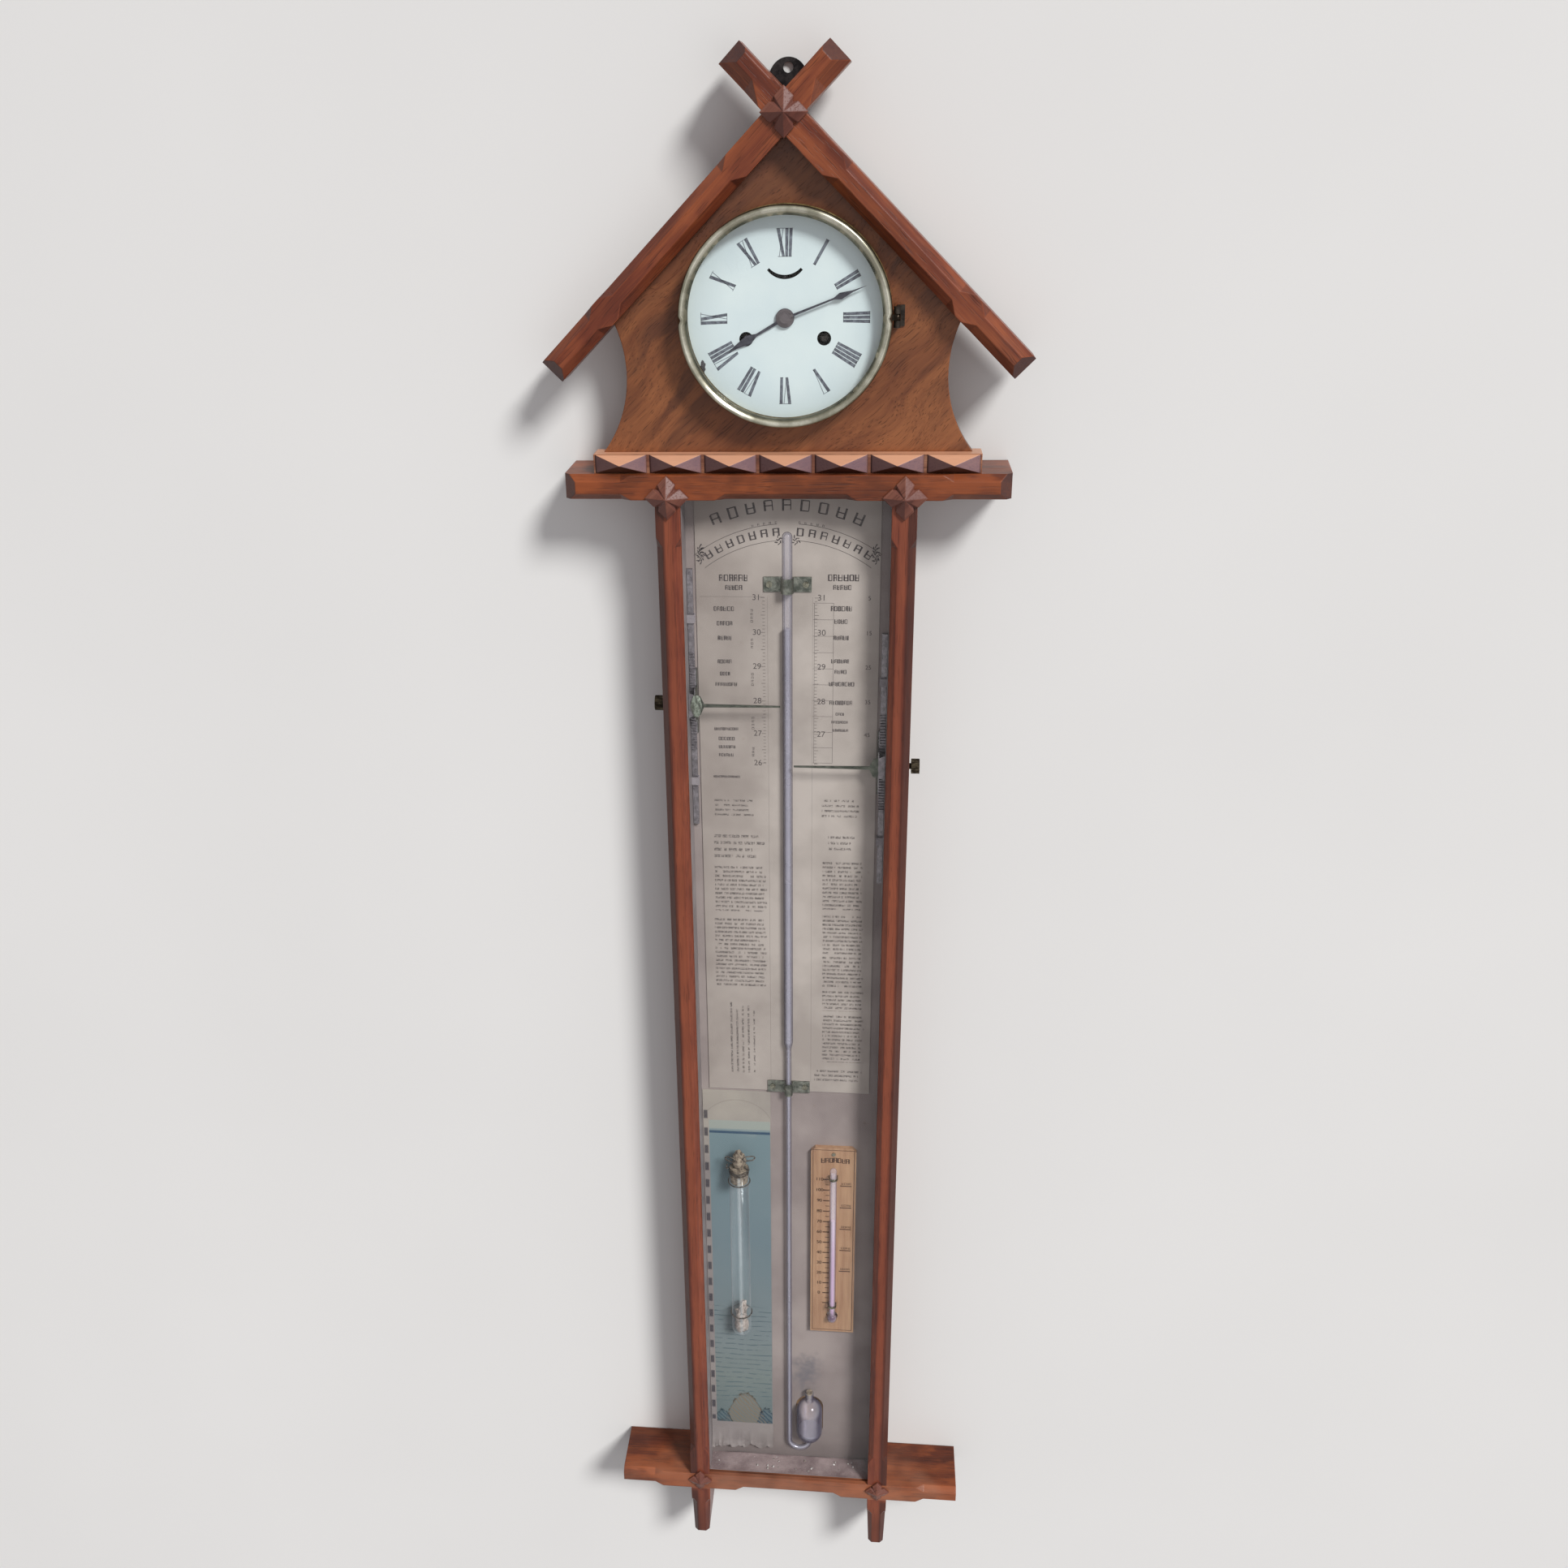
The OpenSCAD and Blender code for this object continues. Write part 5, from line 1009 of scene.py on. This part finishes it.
# ---- storm glass: wired cork and crystals
tieSet = {"thick": 0.45, "neck": (-41.1, -32.7), "turns": (-829.8, -831.2, -832.6)}


# a ring of wire about the upright axis, modelled round the middle and then sized and set
def wireRing(size, squeeze, tilt, place, thick, sweep=360):
    bpy.ops.mesh.primitive_circle_add(vertices=8, radius=thick * mm, location=(size * mm, 0, 0),
                                      rotation=(math.pi / 2, 0, 0))
    ring = applyPlace(bpy.context.object)
    # the Spin operator would give the faces in another order at each run
    turned = ring.modifiers.new("turned", "SCREW")
    turned.angle, turned.steps, turned.render_steps = -math.radians(sweep), 24, 24
    bpy.ops.object.modifier_apply(modifier=turned.name)
    cleaned(ring)
    if sweep < 360:
        with editing(ring):
            bpy.ops.mesh.region_to_loop()
            bpy.ops.mesh.edge_face_add()
    for point in ring.data.vertices:
        flat = Vector((point.co.x, point.co.y, 0))
        middle = flat.normalized() * size * mm
        point.co.y += middle.y * (squeeze - 1)
        point.co.z += 0.35 * mm * math.sin(5 * math.atan2(middle.y, middle.x))
    turn = Matrix.Rotation(math.radians(tilt[0]), 4, "X") @ Matrix.Rotation(
        math.radians(tilt[1]), 4, "Y")
    ring.data.transform(Matrix.Translation([v * mm for v in place]) @ turn)
    return smoothed(ring, 60)


neckX, neckY = tieSet["neck"]
ties = [wireRing(7.9, 1.0, (2, 3 * (step - 1)), (neckX, neckY, level), tieSet["thick"])
        for step, level in enumerate(tieSet["turns"])]
ties.append(wireRing(4.6, 0.42, (84, -24), (neckX - 7.0, neckY - 3.0, -818.5), 0.55))
ties.append(wireRing(5.2, 0.40, (84, 18), (neckX + 8.6, neckY - 3.0, -817.0), 0.55))
ties.append(wireRing(3.4, 0.55, (80, 64), (neckX - 8.4, neckY - 3.4, -824.5), 0.5, 250))
ties.append(wireRing(3.8, 0.5, (82, -52), (neckX + 6.6, neckY - 3.4, -825.5), 0.5, 230))
dressed(joined(ties, "cork_tie_wires"), wireDark, "case")


# the glass is drawn out as one skin, because its bore is full of liquid
stormShell = cleaned(copied(nodes["storm_glass"], Matrix.Identity(4)))
stormShell.name = "storm_glass_wall"
with editing(stormShell):
    bpy.ops.mesh.select_all(action="DESELECT")
    wall = bmesh.from_edit_mesh(stormShell.data)
    for face in wall.faces:
        middle = face.calc_center_median()
        inward = Vector((neckX * mm - middle.x, neckY * mm - middle.y, -0.9 - middle.z))
        if middle.z > -0.9985:
            inward.z = 0
        face.select = face.normal.dot(inward) > 0 and middle.z < -0.835
    bmesh.update_edit_mesh(stormShell.data)
    bpy.ops.mesh.delete(type="FACE")
dressed(smoothed(stormShell, 50), stormGlassFinish, "case")
clearWalls([stormShell])
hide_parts("storm_glass")


# a lump built from a ball, pushed in and out
def lump(place, size, rough, seed, detail=3):
    bpy.ops.mesh.primitive_ico_sphere_add(subdivisions=detail, radius=1)
    rock = bpy.context.object
    for point in rock.data.vertices:
        push = 1 + rough * noise.noise(point.co * 1.9 + Vector((seed, 0, seed * 0.7)))
        push += rough * 0.5 * noise.noise(point.co * 5.1 + Vector((0, seed, 0)))
        point.co *= push
    rock.data.transform(Matrix.Translation([v * mm for v in place])
                        @ Matrix.Diagonal([v * mm for v in size] + [1]))
    return smoothed(rock, 50)


# the cork bulges over the neck and is capped with old wax
capWax = lump((neckX, neckY, -822.0), (5.6, 5.2, 10.5), 0.34, 2.3)
dressed(joined([capWax], "cork_cap"), corkFinish, "case")
crystals = [lump((neckX, neckY, -996.0), (6.1, 6.1, 8.4), 0.16, 4.1),
            lump((neckX - 0.6, neckY, -985.5), (5.2, 5.6, 7.0), 0.5, 7.7),
            lump((neckX + 1.6, neckY - 0.5, -976.5), (3.4, 4.4, 6.2), 0.55, 9.2)]
dressed(joined(crystals, "storm_crystals"), crystalFinish, "case")
print("storm glass filled")


# ---- storm label, a sheet with a curled and torn foot
sheetSet = {"left": -71.1, "right": -15.1, "top": -759.0, "foot": -1153.0, "back": -22.35,
            "curl": 6.5}
labelSheet = sheet(44, 220, sheetSet["right"] - sheetSet["left"],
                   sheetSet["top"] - sheetSet["foot"])
for point in labelSheet.data.vertices:
    point.co.x += (sheetSet["left"] + sheetSet["right"]) / 2 * mm
    point.co.z += (sheetSet["top"] + sheetSet["foot"]) / 2 * mm
    low = min(max((-1.1265 - point.co.z) / 0.0265, 0), 1)
    ragged = noise.noise(Vector((point.co.x * 130, 0, 2.0)))
    ragged += 0.5 * noise.noise(Vector((point.co.x * 520, 0, 7.0)))
    point.co.z += low * (0.0060 + 0.0060 * ragged)
    leftSide = min(max((-0.046 - point.co.x) / 0.025, 0), 1)
    lift = low ** 1.6 * (sheetSet["curl"] * (0.45 + 0.55 * leftSide) + 0.9 * ragged)
    point.co.y = (sheetSet["back"] - 0.25 - lift) * mm
    point.co.y -= 0.0001 * (noise.noise(point.co * 26) + 1)
thickened(labelSheet, 0.0002)
labelSheet.name = "storm_label_sheet"
dressed(smoothed(labelSheet, 50), labelPaper, "case")
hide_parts("storm_label")
print("label sheet laid")


# ---- dust and crumbs on the floor of the case
dustSet = {"left": -71.2, "right": 71.2, "front": -43.2, "back": -22.5, "floor": -1158.95,
           "deep": 2.6, "crumbs": 22}
depth = dustSet["back"] - dustSet["front"]
dustBed = sheet(110, 24, dustSet["right"] - dustSet["left"], depth, turn=0)
for point in dustBed.data.vertices:
    share = point.co.y / (depth * mm) + 0.5
    edge = min(1, (dustSet["right"] * mm - abs(point.co.x)) / 0.004)
    heap = max(noise.noise(Vector((point.co.x * 46, share * 1.2, 1.3))) + 0.55, 0)
    fine = noise.noise(Vector((point.co.x * 420, point.co.y * 420, 0)))
    rise = edge * share ** 3 * min(1, (1 - share) * 9 + 0.25) * heap * dustSet["deep"]
    rise += 0.12 * fine + 0.15
    point.co.y += (dustSet["front"] + dustSet["back"]) / 2 * mm
    point.co.z = (dustSet["floor"] + max(rise, 0.05)) * mm
thickened(dustBed, 0.00005, -1)
crumb = lump((0, 0, 0), (0.9, 0.7, 0.5), 0.4, 1.7, 1)
crumbs = []
for step in range(dustSet["crumbs"]):
    scale = dice.uniform(0.5, 1.5)
    crumbs.append(copied(crumb, Matrix.Translation(
        (dice.uniform(-66, 66) * mm, dice.uniform(-40, -25) * mm, -1158.3 * mm))
        @ Matrix.Rotation(dice.uniform(0, 6), 4, "Z") @ Matrix.Diagonal((scale, scale, scale, 1))))
cleared([crumb])
floorDust = smoothed(joined([dustBed], "floor_dust"), 70)
floorCrumbs = joined(crumbs, "floor_crumbs")
crumbChalk = mottled("crumbChalk", {"Roughness": 0.9}, (240, 3), (0.4, (120, 108, 100)),
                     (0.6, (222, 218, 214)))
dressed(floorCrumbs, crumbChalk, "case")
dustFinish, shader, point = newFinish("floorDustFinish", {"Roughness": 0.95})
colour = point.noise(60, 4, 0.6).ramp((0.35, (116, 98, 98)), (0.66, (154, 136, 134)))
specks = point.noise(900, 2).fade(0.66, 0.74)
feed(shader, (specks * 0.6).blend(colour, (196, 190, 184)),
     normal=point.noise(800, 4).bump(0.0004, 0.8))
dressed(floorDust, dustFinish, "case")
print("dust settled")


# ---- crumpled leaf that the left pointer is held with
leafSet = {"middle": (-65.6, -35.9, -418.5), "size": (8.5, 16.5), "crumple": 0.9}
leaf = sheet(16, 26, *leafSet["size"])
for point in leaf.data.vertices:
    up = point.co.z / (leafSet["size"][1] * mm / 2)
    point.co.x *= 1 - 0.62 * abs(up) ** 1.7
    fold = noise.noise(Vector((point.co.x * 330, 0.4, point.co.z * 260)))
    point.co.y += (fold - 0.45 * (1 - abs(up))) * leafSet["crumple"] * mm
    point.co += Vector([v * mm for v in leafSet["middle"]])
thickened(leaf, 0.00025)
leaf.name = "left_pointer_leaf"
leafFinish = metal("leafBrass", (158, 164, 152), (104, 110, 98), 0.35, 0.5, scale=500)
dressed(smoothed(leaf, 30), leafFinish, "left_slide")
print("pointer leaf folded")
